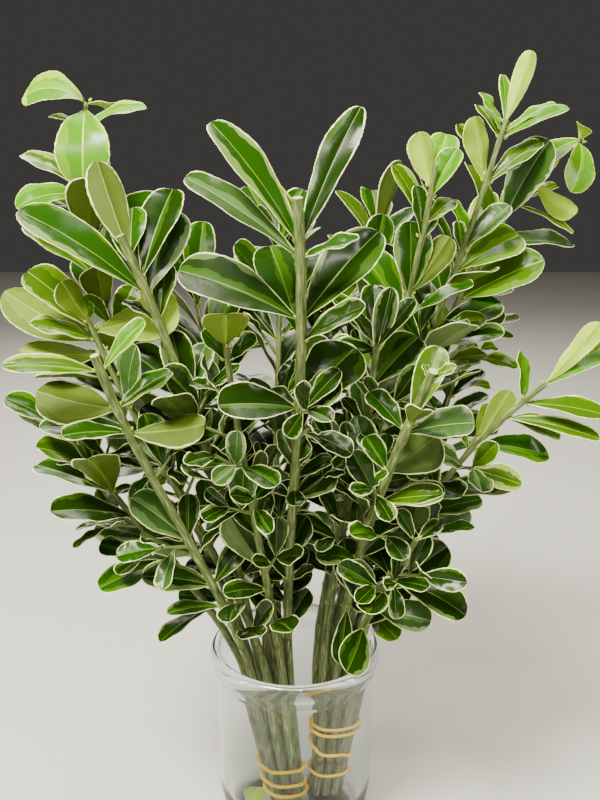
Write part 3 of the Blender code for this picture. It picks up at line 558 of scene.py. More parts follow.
def meets(wanted, fixed, near=0.0):
    """Whether the wanted thing touches a fixed one; near its own start its own mass is let be."""
    for other in fixed:
        if other.owner == wanted.owner and (other.spot - wanted.spot).length < near:
            continue
        if any(wanted.low[k] > other.high[k] or wanted.high[k] < other.low[k] for k in range(3)):
            continue
        if wanted.tree.overlap(other.tree):
            return True
    return False


def arrange(branches, jar_shape):
    """The twigs and leaves that each mass keeps, each in its own space."""
    fixed = [taken("jar", Vector(), jar_shape)]
    for name, grown in branches.items():
        end = marks(grown.points)[-1]
        bare = stretch(name, grown, 0, grown.leafy, 8, level=True)
        leafy = stretch(name, grown, grown.leafy, end, 8)
        fixed.append(taken("stem " + name, grown.points[0], bare))
        fixed.append(taken("bar " + name, grown.points[0], leafy))
    kept = {name: ([], []) for name in branches}
    for shown in (True, False):
        for name, grown in branches.items():
            twigs, leaves = kept[name]
            standing = {}
            for bud in grown.buds:
                if bud.shown != shown:
                    continue
                own = {"bar " + name}
                if bud.twig is not None and bud.twig not in standing:
                    twig = grown.twigs[bud.twig]
                    wanted = taken(name, twig.start, twig_bar(twig, CLEAR))
                    others = [thing for thing in fixed if thing.owner not in own]
                    standing[bud.twig] = not meets(wanted, others, NEAR_TWIG)
                    if standing[bud.twig]:
                        twigs.append(twig)
                        fixed.append(taken(name, twig.start, twig_bar(twig)))
                if bud.twig is not None and not standing[bud.twig]:
                    continue
                others = [thing for thing in fixed if thing.owner not in own]
                for shift in SHIFTS:
                    leaf = opened(bud, shift)
                    if not meets(taken(name, leaf.base, leaf_guard(leaf)), others, NEAR_LEAF):
                        leaves.append(leaf)
                        fixed.append(taken(name, leaf.base, leaf_solid(leaf)))
                        break
    return kept


# Half of the width and height of the rim's bead, in metres
BEAD_WIDE = 0.0036
BEAD_HIGH = 0.0055


def jar_section():
    """Radius and height of the jar's wall: from the middle of its floor up inside, over and down."""
    section = [(radius, JAR_FLOOR + above) for radius, above in INSIDE_FOOT]
    section.append((BODY_RADIUS - JAR_WALL, JAR_HEIGHT - 3 * BEAD_HIGH))
    for k in range(9):
        angle = math.pi * (1 - k / 8)
        radius = RIM_RADIUS - BEAD_WIDE * (1 - math.cos(angle))
        section.append((radius, JAR_HEIGHT - BEAD_HIGH * (1 - math.sin(angle))))
    section += [(BODY_RADIUS + more, JAR_HEIGHT - below) for more, below in UNDER_RIM]
    section += OUTSIDE_FOOT
    section += [(FOOT_RADIUS, 0.0), (0.0, 0.0)]
    return section


def winding(bunch, steps=16):
    """A tie's path: a taut helix round its stems, with arcs at the outer ones and straights between."""
    lines = [centreline(stem) for stem in STEMS.values() if stem.bunch == bunch]
    heights = WINDINGS[bunch]
    path = []
    for k in range((len(heights) - 1) * steps + 1):
        height = between(k / steps, *enumerate(heights)) * CM
        angle = 2 * math.pi * k / steps + 0.5 * math.pi
        out = Vector((math.cos(angle), math.sin(angle), 0))
        spots = [place(line, mark_at_height(line, height))[0] for line in lines]
        outer = max(spots, key=out.dot)
        path.append(outer + (1.04 * STEM_RADIUS + WIRE_RADIUS + CLEAR) * out)
    return path


# The small leaf that lies on the jar's floor: its root (cm), the way it points, its length and
# width (cm), and its curl in degrees
FALLEN_AT = (-2.55, -1.4, 0.92)
FALLEN_WAY = (0.1, 1, 0)
FALLEN_LONG = 2.1
FALLEN_WIDE = 1.4
FALLEN_CURL = -14


def fallen_leaf():
    """The leaf on the jar's floor: face up, with its tip a little raised."""
    root, way = CM * Vector(FALLEN_AT), Vector(FALLEN_WAY).normalized()
    up = Vector((0, 0, 1))
    return Leaf(root, way, up, CM * FALLEN_LONG, CM * FALLEN_WIDE, FALLEN_CURL, FOLD, 0)



# Lens of the camera, in millimetres on a 36 mm frame; it stands at the eye and looks down as it does
LENS = 38.25

# Finer shoots: how far above a branch's lowest leaf they start, then the most that are tried in it
# and over what share of the rest they stand, for the branches inside the crown and for the outer ones
FINER_FROM = 45 * MM
FINER_INSIDE = (14, 0.8)
FINER_OUTSIDE = (9, 0.55)
INSIDE = ("left_inner", "left_low", "right_inner", "right_low", "right_side", "back")


def colour(code):
    """Linear red, green, blue and alpha of an sRGB hex code."""
    parts = [int(code[k : k + 2], 16) / 255 for k in (1, 3, 5)]
    return (*[p / 12.92 if p <= 0.04045 else ((p + 0.055) / 1.055) ** 2.4 for p in parts], 1.0)


def add_node(tree, kind, settings=None, **inputs):
    """A node with its settings and inputs; an input that is a socket is linked."""
    node = tree.nodes.new(kind)
    for key, value in (settings or {}).items():
        setattr(node, key, value)
    for key, value in inputs.items():
        socket = node.inputs[int(key[1:])] if key[1:].isdigit() else node.inputs[key.replace("_", " ")]
        if isinstance(value, bpy.types.NodeSocket):
            tree.links.new(value, socket)
        else:
            socket.default_value = value
    return node


def material(name, code, roughness, **more):
    """A Principled material with a plain base colour."""
    made = bpy.data.materials.new(name)
    made.use_nodes = True
    shader = made.node_tree.nodes["Principled BSDF"]
    shader.inputs["Base Color"].default_value = colour(code)
    shader.inputs["Roughness"].default_value = roughness
    for key, value in more.items():
        shader.inputs[key.replace("_", " ")].default_value = value
    return made


def ramp_of(tree, value, stops):
    """A colour ramp through (position, colour code) stops."""
    ramp = add_node(tree, "ShaderNodeValToRGB", Fac=value)
    marks_on = ramp.color_ramp.elements
    marks_on[0].position, marks_on[0].color = stops[0][0], colour(stops[0][1])
    marks_on[1].position, marks_on[1].color = stops[-1][0], colour(stops[-1][1])
    for place_on, code in stops[1:-1]:
        marks_on.new(place_on).color = colour(code)
    return ramp.outputs["Color"]


def bark_look(name, codes, patches):
    """Bark with fine lines along the stem and, where patches is set, brown worn places."""
    made = material(name, codes[1], 0.5, Specular_IOR_Level=0.35)
    tree = made.node_tree
    shader = tree.nodes["Principled BSDF"]
    grain = add_node(tree, "ShaderNodeAttribute", {"attribute_name": "bark"}).outputs["Vector"]
    lines = add_node(tree, "ShaderNodeTexNoise", Vector=grain, Scale=2.4, Detail=3.0).outputs["Fac"]
    looks = ramp_of(tree, lines, [(0.34, codes[0]), (0.5, codes[1]), (0.62, codes[2]), (0.74, codes[3])])
    if patches:
        spot = add_node(tree, "ShaderNodeTexCoord").outputs["Object"]
        wide = add_node(tree, "ShaderNodeTexNoise", Vector=spot, Scale=75.0, Detail=2.0).outputs["Fac"]
        worn = add_node(tree, "ShaderNodeMapRange", _0=wide, _1=0.6, _2=0.68).outputs[0]
        brown = colour("#5a4322")
        looks = add_node(tree, "ShaderNodeMix", {"data_type": "RGBA"}, _0=worn, _6=looks, _7=brown).outputs[2]
    tree.links.new(looks, shader.inputs["Base Color"])
    bump = add_node(tree, "ShaderNodeBump", Distance=0.0004, Height=lines)
    tree.links.new(bump.outputs["Normal"], shader.inputs["Normal"])
    return made


# Leaf colours from full-grown to just opened, then masked in grey, then fallen: blade, streak,
# pale blotch, midrib, underside, underside along its veins
TONES = (
    ("#142c00", "#284a00", "#4e6a30", "#466a18", "#2c400e", "#3a5018"),
    ("#1c4200", "#386000", "#648038", "#5c801e", "#44580c", "#52681a"),
    ("#3a5c00", "#527c00", "#7a9634", "#7ea028", "#58720c", "#688220"),
    ("#407600", "#568a00", "#709c08", "#90b42c", "#76941a", "#86a42a"),
    ("#4c8400", "#649800", "#80ac08", "#a2c034", "#8cac1e", "#9cbc30"),
    ("#32501e", "#4e6e3c", "#7a8f62", "#7a9458", "#58703a", "#687f46"),
    # The fallen leaf: its young yellow-lime is made brighter, as painted light for the light that the glass and
    # stems keep off it
    ("#a0ca00", "#aed218", "#c4de4a", "#d8ea66", "#aaca38", "#b6d444"),
)
PARTS = len(TONES[0])
FALLEN = len(TONES) - 1
GREY = FALLEN - 1
MARGINS = ("#e0eca4", "#d8ea78")

# Where one tone gives way to the next, how young the leaves of each branch look, so how yellow,
# and how many of them are masked in grey
YOUNGER = (0.14, 0.36, 0.58, 0.8)
YOUTH = {
    "front_centre": 0.02, "left_front": 0.5, "left_upper": 0.12, "left_inner": 0.2, "left_crest": 0.66,
    "left_far": 0.5, "left_low": 0.4, "right_inner": 0.02, "right_front": 0.42, "right_low": 0.25,
    "right_arching": 0.75, "right_crest": 0.56, "right_far": 0.78, "right_upper": 0.56, "right_side": 0.6,
}
MASKED = {"right_crest": 0.35, "right_side": 0.3, "right_upper": 0.3, "left_low": 0.25, "left_far": 0.2}
# Painted light and shade: how far leaves are pushed towards the lighter, yellower tones for each metre above the
# middle of the crown, and towards the darker ones below it; the middle's height is in metres
PAINTED_LIGHT_BY_HEIGHT = 1.3
MID_HEIGHT = 0.3
ROWS = 22
# Half the midrib, as a share of the half width, and the zones of tone from it outwards
RIB = 0.024
ZONES = 3
SLIVER = 0.05
# How long a leaf with a margin of full width is
FULL_RIM = 60 * MM
# How far a blade rises or sinks between its veins
PUCKER = 0.15 * MM


def leaf_looks():
    """The materials of a leaf, in the order that leaf faces use."""
    looks = []
    for k, (blade, streak, pale, rib, under, veins) in enumerate(TONES):
        # A waxy top with a soft shine, duller where it is masked with grey, and a matt underside
        looks.append(material(f"leaf blade {k}", blade, 0.25, Specular_IOR_Level=0.2))
        looks.append(material(f"leaf streak {k}", streak, 0.27, Specular_IOR_Level=0.2))
        looks.append(material(f"leaf blotch {k}", pale, 0.36, Specular_IOR_Level=0.2))
        looks.append(material(f"leaf midrib {k}", rib, 0.4))
        looks.append(material(f"leaf underside {k}", under, 0.65, Specular_IOR_Level=0.2))
        looks.append(material(f"leaf underside veins {k}", veins, 0.65, Specular_IOR_Level=0.2))
    for k, code in enumerate(MARGINS):
        looks.append(material(f"leaf margin {k}", code, 0.45))
    return looks


class Sheet:
    """Corners, faces and their looks, gathered for one mesh."""

    def __init__(self):
        self.corners, self.faces, self.looks = [], [], []

    def add(self, loop, look):
        """A face, without the corners that its loop repeats."""
        loop = tuple(dict.fromkeys(loop))
        if len(loop) > 2:
            self.faces.append(loop)
            self.looks.append(look)

    def point(self, corner):
        """Adds a corner and gives its number."""
        self.corners.append(corner)
        return len(self.corners) - 1


def blade_width(share, low, high):
    """Share of the half width at a share of the leaf's length: a short stalk, then an obovate blade."""
    stalk = 0.05
    if share <= stalk or share >= 1:
        return 0.0
    up = (share - stalk) / (1 - stalk)
    widest = low / (low + high)
    return (up / widest) ** low * ((1 - up) / (1 - widest)) ** high


def drift(rng, keep, step):
    """A value that wanders from row to row."""
    value, values = 0.0, []
    for _ in range(ROWS + 1):
        value = keep * value + rng.uniform(-step, step)
        values.append(value)
    return values


def zone_lines(rng):
    """Where the zones of one half blade meet, by row, as shares from its midrib to its margin."""
    band, outer = rng.uniform(-0.15, 0.4), rng.uniform(0.55, 1.1)
    lines = []
    for first, second in zip(drift(rng, 0.72, 0.09), drift(rng, 0.6, 0.12)):
        first = min(max(band + first, 0.02), 0.85)
        lines.append((first, min(max(outer + second, first + 0.02), 0.98)))
    return lines


def zone_looks(rng):
    """The look of each zone: often a lighter band by the midrib, the blade, pale places by the margin."""
    return (rng.choice((0, 1)), 0, rng.choice((1, 2)))


def grow_leaf(sheet, leaf, tone, rng):
    """One leaf: a thin closed blade with a toothed edge, streaks along its veins and a pale margin."""
    low, high = rng.uniform(0.85, 1.1), rng.uniform(0.34, 0.48)
    rim = rng.uniform(0.45, 0.8) * MM * min(1.0, 0.3 + leaf.length / FULL_RIM)
    wave, start = rng.uniform(0.2, 0.9) * MM, rng.uniform(0, 6.3)
    thick = 0.4 * MM
    half = 0.5 * leaf.width
    stalk = 0.75 * MM / half
    root = sheet.point(leaf.base - SUNK * leaf.axis)
    count = 2 * (ZONES + 2)
    tops, lows = [[root] * count], [[root] * count]
    lines = (zone_lines(rng), zone_lines(rng))
    rims = (drift(rng, 0.5, 0.45), drift(rng, 0.5, 0.45))
    for row in range(1, ROWS):
        share = 1 - (1 - row / ROWS) ** 1.6
        reach_out = share + 0.2 * math.sqrt(share) * (1 - share)
        wide = max(blade_width(reach_out, low, high), stalk)
        toothed = wide * (1.012 if row % 2 else 0.988) if 0.2 < share else wide
        top, low_line = [0] * count, [0] * count
        for s, side in enumerate((-1, 1)):
            inner = max(0.5, 1 - rim * max(0.5, 1 + rims[s][row]) / max(toothed * half, 0.1 * MM))
            middle = RIB / max(wide, 0.3)
            spots = [middle, *[middle + line * (inner - middle) for line in lines[s][row]], inner, 1.0]
            for k, spot in enumerate(spots):
                along = share + (reach_out - share) * spot**1.2
                lift = wave * spot**2 * math.sin(start + 13 * share + 2 * side)
                lift += PUCKER * rng.uniform(-1, 1) * (0 < k < len(spots) - 2)
                aside = side * spot * (toothed if spot == 1.0 else wide)
                groove = -0.22 * MM if k == 0 else 0.0
                corner = on_leaf(leaf, along, aside, lift + groove)
                place_in = count // 2 + k if s else count // 2 - 1 - k
                top[place_in] = low_line[place_in] = sheet.point(corner)
                if spot < 1.0:
                    low_line[place_in] = sheet.point(corner - (thick - 0.6 * groove) * leaf.face)
        tops.append(top)
        lows.append(low_line)
    tip = sheet.point(on_leaf(leaf, 1.0, 0.0))
    tops.append([tip] * count)
    lows.append([tip] * count)
    looks = (zone_looks(rng), zone_looks(rng))
    base = PARTS * tone
    margin = PARTS * len(TONES) + (2 < tone < GREY)
    middle = count // 2 - 1
    for row in range(ROWS):
        (a, b), (c, d) = tops[row : row + 2], lows[row : row + 2]
        for k in range(count - 1):
            s, zone = int(k > middle), abs(k - middle) - 1
            if k in (0, count - 2):
                look = margin
            elif k == middle:
                look = base + 3
            else:
                ends = [(0.0, *lines[s][at], 1.0) for at in (row, row + 1)]
                narrow = sum(end[zone + 1] - end[zone] for end in ends) < 2 * SLIVER
                look = base + looks[s][zone - 1 if narrow and zone else zone]
            sheet.add((a[k], a[k + 1], b[k + 1], b[k]), look)
            under = look if k in (0, count - 2, middle) else base + (5 if look == base + looks[s][0] else 4)
            sheet.add((c[k + 1], c[k], d[k], d[k + 1]), under)


def tone_of(leaf, name, rng):
    """Younger leaves, towards a branch's tip, are yellower; leaves high up get lighter tones and low ones
    darker, as painted light and shade; and some are masked in grey.
    """
    pick = YOUTH.get(name, 0.22) * (1.2 - 0.7 * leaf.age) + rng.gauss(0, 0.12)
    # Painted light and shade: leaves above the middle of the crown take lighter tones, those below it darker
    # ones
    pick += PAINTED_LIGHT_BY_HEIGHT * (leaf.base.z - MID_HEIGHT)
    masked = rng.random() < leaf.age * MASKED.get(name, 0.14)
    return GREY if masked else sum(pick > limit for limit in YOUNGER)


def sheet_object(name, sheet, looks):
    """The gathered faces as one object."""
    mesh = bpy.data.meshes.new(name)
    mesh.from_pydata([tuple(c) for c in sheet.corners], [], sheet.faces)
    for look in looks:
        mesh.materials.append(look)
    mesh.polygons.foreach_set("material_index", sheet.looks)
    mesh.polygons.foreach_set("use_smooth", [True] * len(mesh.polygons))
    mesh.validate()
    mesh.update()
    made = bpy.data.objects.new(name, mesh)
    bpy.context.scene.collection.objects.link(made)
    return made


def path_tree(name, look, sides):
    """Geometry Nodes: sweeps a ridged ring along curves by their radius, and roughens what it makes."""
    tree = bpy.data.node_groups.new(name, "GeometryNodeTree")
    tree.interface.new_socket("Geometry", in_out="INPUT", socket_type="NodeSocketGeometry")
    for size in ("Ring spacing", "Relief", "Ridges"):
        tree.interface.new_socket(size, in_out="INPUT", socket_type="NodeSocketFloat")
    tree.interface.new_socket("Geometry", in_out="OUTPUT", socket_type="NodeSocketGeometry")
    source = add_node(tree, "NodeGroupInput").outputs

    def maths(operation, first, second=0.0):
        return add_node(tree, "ShaderNodeMath", {"operation": operation}, _0=first, _1=second).outputs[0]

    # The ring: a circle with four low ridges, which keeps the angle of each of its points
    circle = add_node(tree, "GeometryNodeCurvePrimitiveCircle", Resolution=sides, Radius=1.0)
    turn = maths("MULTIPLY", add_node(tree, "GeometryNodeSplineParameter").outputs["Factor"], 2 * math.pi)
    ridge = maths("MULTIPLY", maths("COSINE", maths("MULTIPLY", turn, 4.0)), source[3])
    spot = add_node(tree, "GeometryNodeInputPosition").outputs[0]
    out = add_node(tree, "ShaderNodeVectorMath", {"operation": "SCALE"}, _0=spot, Scale=ridge).outputs[0]
    ridged = add_node(tree, "GeometryNodeSetPosition", Geometry=circle.outputs[0], Offset=out)
    ring = add_node(tree, "GeometryNodeStoreNamedAttribute", {"data_type": "FLOAT", "domain": "POINT"},
                    Geometry=ridged.outputs[0], Name="turn", Value=turn)
    # The path, which keeps how far along it each of its points is
    path = add_node(tree, "GeometryNodeResampleCurve", {"mode": "LENGTH"}, Curve=source[0], Length=source[1])
    run = add_node(tree, "GeometryNodeSplineParameter").outputs["Length"]
    path = add_node(tree, "GeometryNodeStoreNamedAttribute", {"data_type": "FLOAT", "domain": "POINT"},
                    Geometry=path.outputs[0], Name="run", Value=run)
    swept = add_node(tree, "GeometryNodeCurveToMesh", Curve=path.outputs[0], Profile_Curve=ring.outputs[0],
                     Fill_Caps=True)
    if "Scale" in swept.inputs:
        tree.links.new(add_node(tree, "GeometryNodeInputRadius").outputs[0], swept.inputs["Scale"])
    # The bark's coordinates: round the stem, and much more slowly along it
    kept_turn = add_node(tree, "GeometryNodeInputNamedAttribute", Name="turn").outputs[0]
    kept_run = add_node(tree, "GeometryNodeInputNamedAttribute", Name="run").outputs[0]
    grain = add_node(tree, "ShaderNodeCombineXYZ", _0=maths("COSINE", kept_turn), _1=maths("SINE", kept_turn),
                     _2=maths("MULTIPLY", kept_run, 55.0)).outputs[0]
    store = {"data_type": "FLOAT_VECTOR", "domain": "POINT"}
    marked = add_node(tree, "GeometryNodeStoreNamedAttribute", store, Geometry=swept.outputs[0], Name="bark")
    tree.links.new(grain, marked.inputs["Value"])
    normal = add_node(tree, "GeometryNodeInputNormal").outputs[0]
    noise = add_node(tree, "ShaderNodeTexNoise", Scale=520.0, Detail=2.0).outputs["Fac"]
    amount = maths("MULTIPLY", maths("SUBTRACT", noise, 0.5), source[2])
    push = add_node(tree, "ShaderNodeVectorMath", {"operation": "SCALE"}, _0=normal, Scale=amount).outputs[0]
    moved = add_node(tree, "GeometryNodeSetPosition", Geometry=marked.outputs[0], Offset=push)
    smooth = add_node(tree, "GeometryNodeSetShadeSmooth", _0=moved.outputs[0])
    real = add_node(tree, "GeometryNodeRealizeInstances", _0=smooth.outputs[0])
    dressed = add_node(tree, "GeometryNodeSetMaterial", _0=real.outputs[0], Material=look)
    add_node(tree, "NodeGroupOutput", _0=dressed.outputs[0])
    return tree


def swept(name, paths, look, sides, spacing, relief=0.0, ridges=0.0):
    """Bars along paths of (points, radii), turned into one plain mesh."""
    rng = random.Random("turns of " + name)
    curve = bpy.data.curves.new(name + " path", "CURVE")
    curve.dimensions = "3D"
    for points, radii in paths:
        spline = curve.splines.new("POLY")
        spline.points.add(len(points) - 1)
        turned = rng.uniform(0, 2 * math.pi)
        for spot, point, radius in zip(spline.points, points, radii):
            spot.co, spot.radius, spot.tilt = (*point, 1), radius, turned
    guide = bpy.data.objects.new(name + " guide", curve)
    bpy.context.scene.collection.objects.link(guide)
    tree = path_tree(name, look, sides)
    sweep = guide.modifiers.new("Sweep", "NODES")
    sweep.node_group = tree
    sizes = {"Ring spacing": spacing, "Relief": relief, "Ridges": ridges}
    for item in tree.interface.items_tree:
        if item.in_out == "INPUT" and item.name in sizes:
            sweep[item.identifier] = sizes[item.name]
    graph = bpy.context.evaluated_depsgraph_get()
    graph.update()
    mesh = bpy.data.meshes.new_from_object(guide.evaluated_get(graph))
    bpy.data.objects.remove(guide)
    made = bpy.data.objects.new(name, mesh)
    bpy.context.scene.collection.objects.link(made)
    return made


def finer_growth(branches, kept, jar_shape):
    """More short shoots with small leaves, wherever they find room: (twigs, leaves) by branch."""
    fixed = [taken("jar", Vector(), jar_shape)]
    for name, grown in branches.items():
        end = marks(grown.points)[-1]
        fixed.append(taken("bar " + name, grown.points[0], stretch(name, grown, 0, end, 6)))
        twigs, leaves = kept[name]
        fixed += [taken(name, twig.start, twig_bar(twig)) for twig in twigs]
        fixed += [taken(name, leaf.base, leaf_solid(leaf)) for leaf in leaves]
    finer = {}
    for name, grown in branches.items():
        rng = random.Random("finer " + name)
        length = marks(grown.points)[-1]
        finer[name] = ([], [])
        tries, span = FINER_INSIDE if name.startswith(INSIDE) else FINER_OUTSIDE
        for _ in range(tries):
            first = grown.leafy + FINER_FROM
            at = first + rng.uniform(0, span) * (length - first)
            spot, along = place(grown.points, at)
            buds, shoots = [], []
            sprout(rng, buds, shoots, spot, along, rng.uniform(0, 360))
            others = [thing for thing in fixed if thing.owner != "bar " + name]
            if meets(taken(name, spot, twig_bar(shoots[0])), others, NEAR_TWIG):
                continue
            grew = [opened(one) for one in buds]
            grew = [leaf for leaf in grew if not meets(taken(name, leaf.base, leaf_solid(leaf)), others, 4 * MM)]
            if len(grew) > 1:
                finer[name][0].append(shoots[0])
                finer[name][1].extend(grew)
                fixed.append(taken(name, spot, twig_bar(shoots[0])))
                fixed += [taken(name, leaf.base, leaf_solid(leaf)) for leaf in grew]
    return finer


def bud_path(spot, way, long):
    """A small pointed bud, as a path and its radii."""
    points = [spot + long * share * way for share in (0, 0.3, 0.6, 0.85, 1)]
    return points, [long * wide for wide in (0.24, 0.34, 0.3, 0.16, 0.03)]


def bowed(path, turns):
    """A tie's path, rounder where it goes straight from stem to stem."""
    length = marks(path)[-1]
    count = int(length / (0.5 * MM))
    points = [place(path, length * k / count)[0] for k in range(count + 1)]
    around = count // turns
    outs = []
    for k, point in enumerate(points):
        first = min(max(k - around // 2, 0), count - around)
        centre = sum(points[first : first + around], Vector()) / around
        outs.append(Vector((point.x - centre.x, point.y - centre.y, 0)))
    far = [max(out.length for out in outs[max(k - around // 8, 0) : k + around // 8]) for k in range(count + 1)]
    rounder = []
    for k, (point, out) in enumerate(zip(points, outs)):
        near = far[max(k - around // 8, 0) : k + around // 8]
        rounder.append(point + BOW * max(0.0, sum(near) / len(near) / out.length - 1) * out)
    near = [rounder[max(k - 4, 0) : k + 5] for k in range(count + 1)]
    return [sum(some, Vector()) / len(some) for some in near]


def branch_path(name, grown, start, end, nodes_at):
    """Close-set points of a branch with a slight swelling at each pair of leaves."""
    reached = marks(grown.points)
    tip = CUT_TIP if STEMS[name].cut else GROWN_TIP
    count = max(2, int((end - start) / (1.5 * MM)))
    points, radii = [], []
    for k in range(count + 1):
        stop = start + (end - start) * k / count
        radius = STEM_RADIUS * between(stop / reached[-1], (STRAIGHT, 1.0), (1.0, tip))
        near = min((abs(stop - at) for at in nodes_at), default=1.0)
        radii.append(radius * (0.97 + 0.12 * math.exp(-((near / (1.6 * MM)) ** 2))))
        points.append(place(grown.points, stop)[0])
    return points, radii


# How far a wire is bowed out between its stems, as a share of the way to a round loop
BOW = 0.8

# The stalk left of a torn leaf by one cut top: how far below it, in metres, and the way it points
TORN = ("front_centre", 3.8 * MM, Vector((-0.66, -0.15, 0.74)), 12.5 * MM)

# The leaves are joined in these groups of branches
CENTRAL = ("front_centre", "right_front", "right_inner", "right_low")
GROUPS = {
    "left": [name for name in STEMS if name.startswith("left")],
    "front": list(CENTRAL),
    "right": [name for name in STEMS if name.startswith("right") and name not in CENTRAL],
    "back": [name for name in STEMS if name.startswith("back")],
}


def finish_piece(piece, nodes):
    """Ties a finished piece to the frame."""
    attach(piece, "root")
    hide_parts(*nodes)


def dress():
    """All pieces of the plant and its jar."""
    looks = leaf_looks()
    # Year-old bark: olive green with fine pale lines along it and a few worn brown places
    old_bark = bark_look("year-old bark", ("#424e28", "#5e6a38", "#7c8554", "#9ea576"), True)
    # Bark of the leafy shoots: fresher green, with the same lines
    new_bark = bark_look("green shoot bark", ("#3e4e22", "#586a34", "#76844a", "#9aa468"), False)
    # Swelling buds: yellower than the bark
    scales = material("yellow-green bud", "#a5a32c", 0.45)
    # Freshly cut wood: pale and matt
    pith = material("cut wood", "#b9c47c", 0.7)
    # Plastic-coated tying wire: even yellow and matt
    coat = material("yellow coated wire", "#eebe00", 0.9, Specular_IOR_Level=0.0)
    # Pressed glass: clear and thin in the wall, thick and grey in the rolled rim, which bends more light
    thin_glass = material("pressed glass wall", "#ecf1f1", 0.01, Transmission_Weight=1.0, IOR=1.34)
    thick_glass = material("rolled glass rim", "#dfe6e6", 0.01, Transmission_Weight=1.0, IOR=1.5)

    section = jar_section()
    outline = bpy.data.meshes.new("glass_jar")
    outline.from_pydata([(r, 0, z) for r, z in section], [(k, k + 1) for k in range(len(section) - 1)], [])
    jar = bpy.data.objects.new("glass_jar", outline)
    bpy.context.scene.collection.objects.link(jar)
    lathe = jar.modifiers.new("Lathe", "SCREW")
    lathe.steps = lathe.render_steps = 32
    lathe.use_merge_vertices = True
    lathe.merge_threshold = 0.00005
    graph = bpy.context.evaluated_depsgraph_get()
    plain = bpy.data.meshes.new_from_object(jar.evaluated_get(graph))
    jar_shape = ([v.co.copy() for v in plain.vertices], [tuple(face.vertices) for face in plain.polygons])
    lathe.steps = lathe.render_steps = 96
    lathe.use_smooth_shade = True
    graph = bpy.context.evaluated_depsgraph_get()
    graph.update()
    jar.data = bpy.data.meshes.new_from_object(jar.evaluated_get(graph))
    jar.modifiers.clear()
    jar.data.materials.clear()
    jar.data.materials.append(thin_glass)
    jar.data.materials.append(thick_glass)
    for face in jar.data.polygons:
        face.material_index = int(face.center.z > JAR_HEIGHT - UNDER_RIM[-1][1])
    finish_piece(jar, ["jar"])

    branches = {name: branch(name) for name in STEMS}
    kept = arrange(branches, jar_shape)
    finer = finer_growth(branches, kept, jar_shape)
    bare, shoots, swelling, cut_faces = [], [], [], []
    for name, grown in branches.items():
        end = marks(grown.points)[-1]
        at = sorted({round((one.spot - grown.points[0]).length, 4) for one in grown.buds if one.twig is None})
        bare.append(branch_path(name, grown, 0.6 * MM, grown.leafy, []))
        shoots.append(branch_path(name, grown, grown.leafy + CLEAR, end, at))
        for twig in kept[name][0] + finer[name][0]:
            steps = [twig.start.lerp(twig.end, k / 6) for k in range(7)]
            shoots.append((steps, [TWIG_RADIUS * (1 - 0.35 * k / 6) for k in range(7)]))
        for one in grown.buds:
            if one.twig is None:
                aside = (one.way - one.way.dot(one.along) * one.along).normalized()
                foot = one.spot + 0.75 * STEM_RADIUS * aside + 1.2 * MM * one.along
                swelling.append(bud_path(foot, (aside + 1.2 * one.along).normalized(), 2.6 * MM))
        if name == TORN[0]:
            root = place(grown.points, end - TORN[1])[0]
            spots = [root + share * TORN[3] * TORN[2] for share in (0.1, 0.5, 0.9, 1)]
            swelling.append((spots, [0.75 * MM, 0.6 * MM, 0.7 * MM, 0.5 * MM]))
        if STEMS[name].cut:
            top, along = place(grown.points, end)
            cut_faces.append(([top, top + 0.3 * MM * along], [0.9 * CUT_TIP * STEM_RADIUS] * 2))
    foliage = ["foliage_" + name for name in STEMS]
    stems = swept("bare_stems", bare, old_bark, 16, 1.5 * MM, 0.1 * MM, 0.05)
    finish_piece(stems, ["stem_" + name for name in STEMS])
    finish_piece(swept("leafy_shoots", shoots, new_bark, 12, 1.6 * MM, 0.08 * MM, 0.06), foliage)
    finish_piece(swept("axillary_buds", swelling, scales, 7, 0.5 * MM), foliage)
    ends = ["foliage_" + name for name in STEMS if STEMS[name].cut]
    finish_piece(swept("cut_ends", cut_faces, pith, 14, 0.15 * MM), ends)
    for group, names in GROUPS.items():
        sheet = Sheet()
        for name in names:
            rng = random.Random("leaf detail " + name)
            for leaf in kept[name][1] + finer[name][1]:
                grow_leaf(sheet, leaf, tone_of(leaf, name, rng), rng)
        leaves = sheet_object("leaves_" + group, sheet, looks)
        finish_piece(leaves, ["foliage_" + name for name in names])
    for bunch in BUNCHES:
        path = bowed(winding(bunch, 40), len(WINDINGS[bunch]) - 1)
        tie = swept("wire_" + bunch, [(path, [WIRE_RADIUS] * len(path))], coat, 12, 0.7 * MM)
        finish_piece(tie, ["tie_" + bunch])
    sheet = Sheet()
    # The leaf on the jar's floor takes the brightened fallen tone: painted light
    grow_leaf(sheet, fallen_leaf(), FALLEN, random.Random("fallen leaf"))
    finish_piece(sheet_object("fallen_young_leaf", sheet, looks), ["fallen_leaf"])


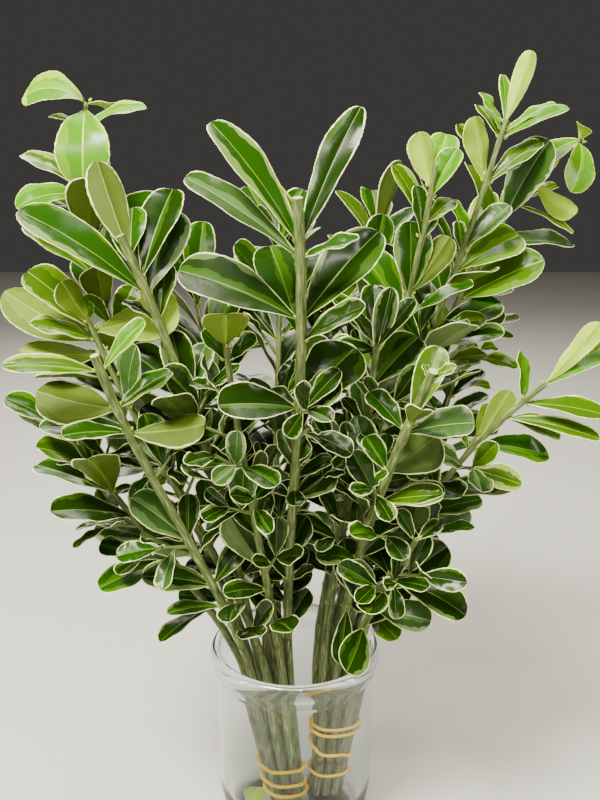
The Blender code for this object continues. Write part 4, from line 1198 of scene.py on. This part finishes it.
# Soft lights, a little warm: place, width and height in metres, watts
WARM = "#fff7e6"
LIGHTS = (
    ("key", (-0.5, -0.6, 1.42), (0.45, 0.4), 72.0),
    ("fill", (1.0, -0.9, 0.8), (0.6, 0.6), 4.0),
    ("top", (0.2, 0.5, 1.5), (0.9, 0.7), 15.0),
    ("low front", (0.1, -1.0, 0.35), (0.4, 0.3), 1.5),
    ("back", (-0.2, 1.2, 1.0), (0.8, 0.6), 16.0),
    ("left strip", (-0.75, -0.3, 0.48), (0.05, 0.6), 4.0),
    ("right strip", (0.75, -0.2, 0.48), (0.05, 0.6), 4.0),
    ("left spot", (-0.10, -0.6, 1.0), (0.035, 0.035), 1.5),
    ("middle spot", (0.02, -0.6, 1.0), (0.035, 0.035), 1.5),
    ("right spot", (0.12, -0.6, 1.0), (0.035, 0.035), 1.5),
)
LOOKED_AT = (0.0, 0.0, 0.22)


def studio():
    """Camera, pale floor and soft lights."""
    camera = bpy.data.objects.new("camera", bpy.data.cameras.new("camera"))
    camera.location = CM * EYE
    camera.rotation_euler = (math.radians(90 - EYE_DOWN), 0, 0)
    camera.data.lens = LENS
    camera.data.sensor_fit = "VERTICAL"
    camera.data.sensor_height = 36.0
    bpy.context.scene.collection.objects.link(camera)
    bpy.context.scene.camera = camera
    ground = bpy.data.meshes.new("floor")
    reach = 3.0
    ground.from_pydata([(-reach, -reach, 0), (reach, -reach, 0), (reach, reach, 0), (-reach, reach, 0)], [], [(0, 1, 2, 3)])
    floor = bpy.data.objects.new("floor", ground)
    ground.materials.append(material("pale floor", "#b8b9b5", 0.7))
    bpy.context.scene.collection.objects.link(floor)
    for name, at, size, power in LIGHTS:
        light = bpy.data.lights.new(name, "AREA")
        light.shape, light.energy = "RECTANGLE", power
        light.size, light.size_y = size
        light.color = colour(WARM)[:3]
        lamp = bpy.data.objects.new(name, light)
        lamp.location = at
        lamp.rotation_euler = (Vector(LOOKED_AT) - Vector(at)).to_track_quat("-Z", "Y").to_euler()
        bpy.context.scene.collection.objects.link(lamp)
    world = bpy.data.worlds.new("studio")
    world.use_nodes = True
    world.node_tree.nodes["Background"].inputs["Color"].default_value = colour("#cccac6")
    world.node_tree.nodes["Background"].inputs["Strength"].default_value = 0.08
    bpy.context.scene.world = world


studio()
dress()
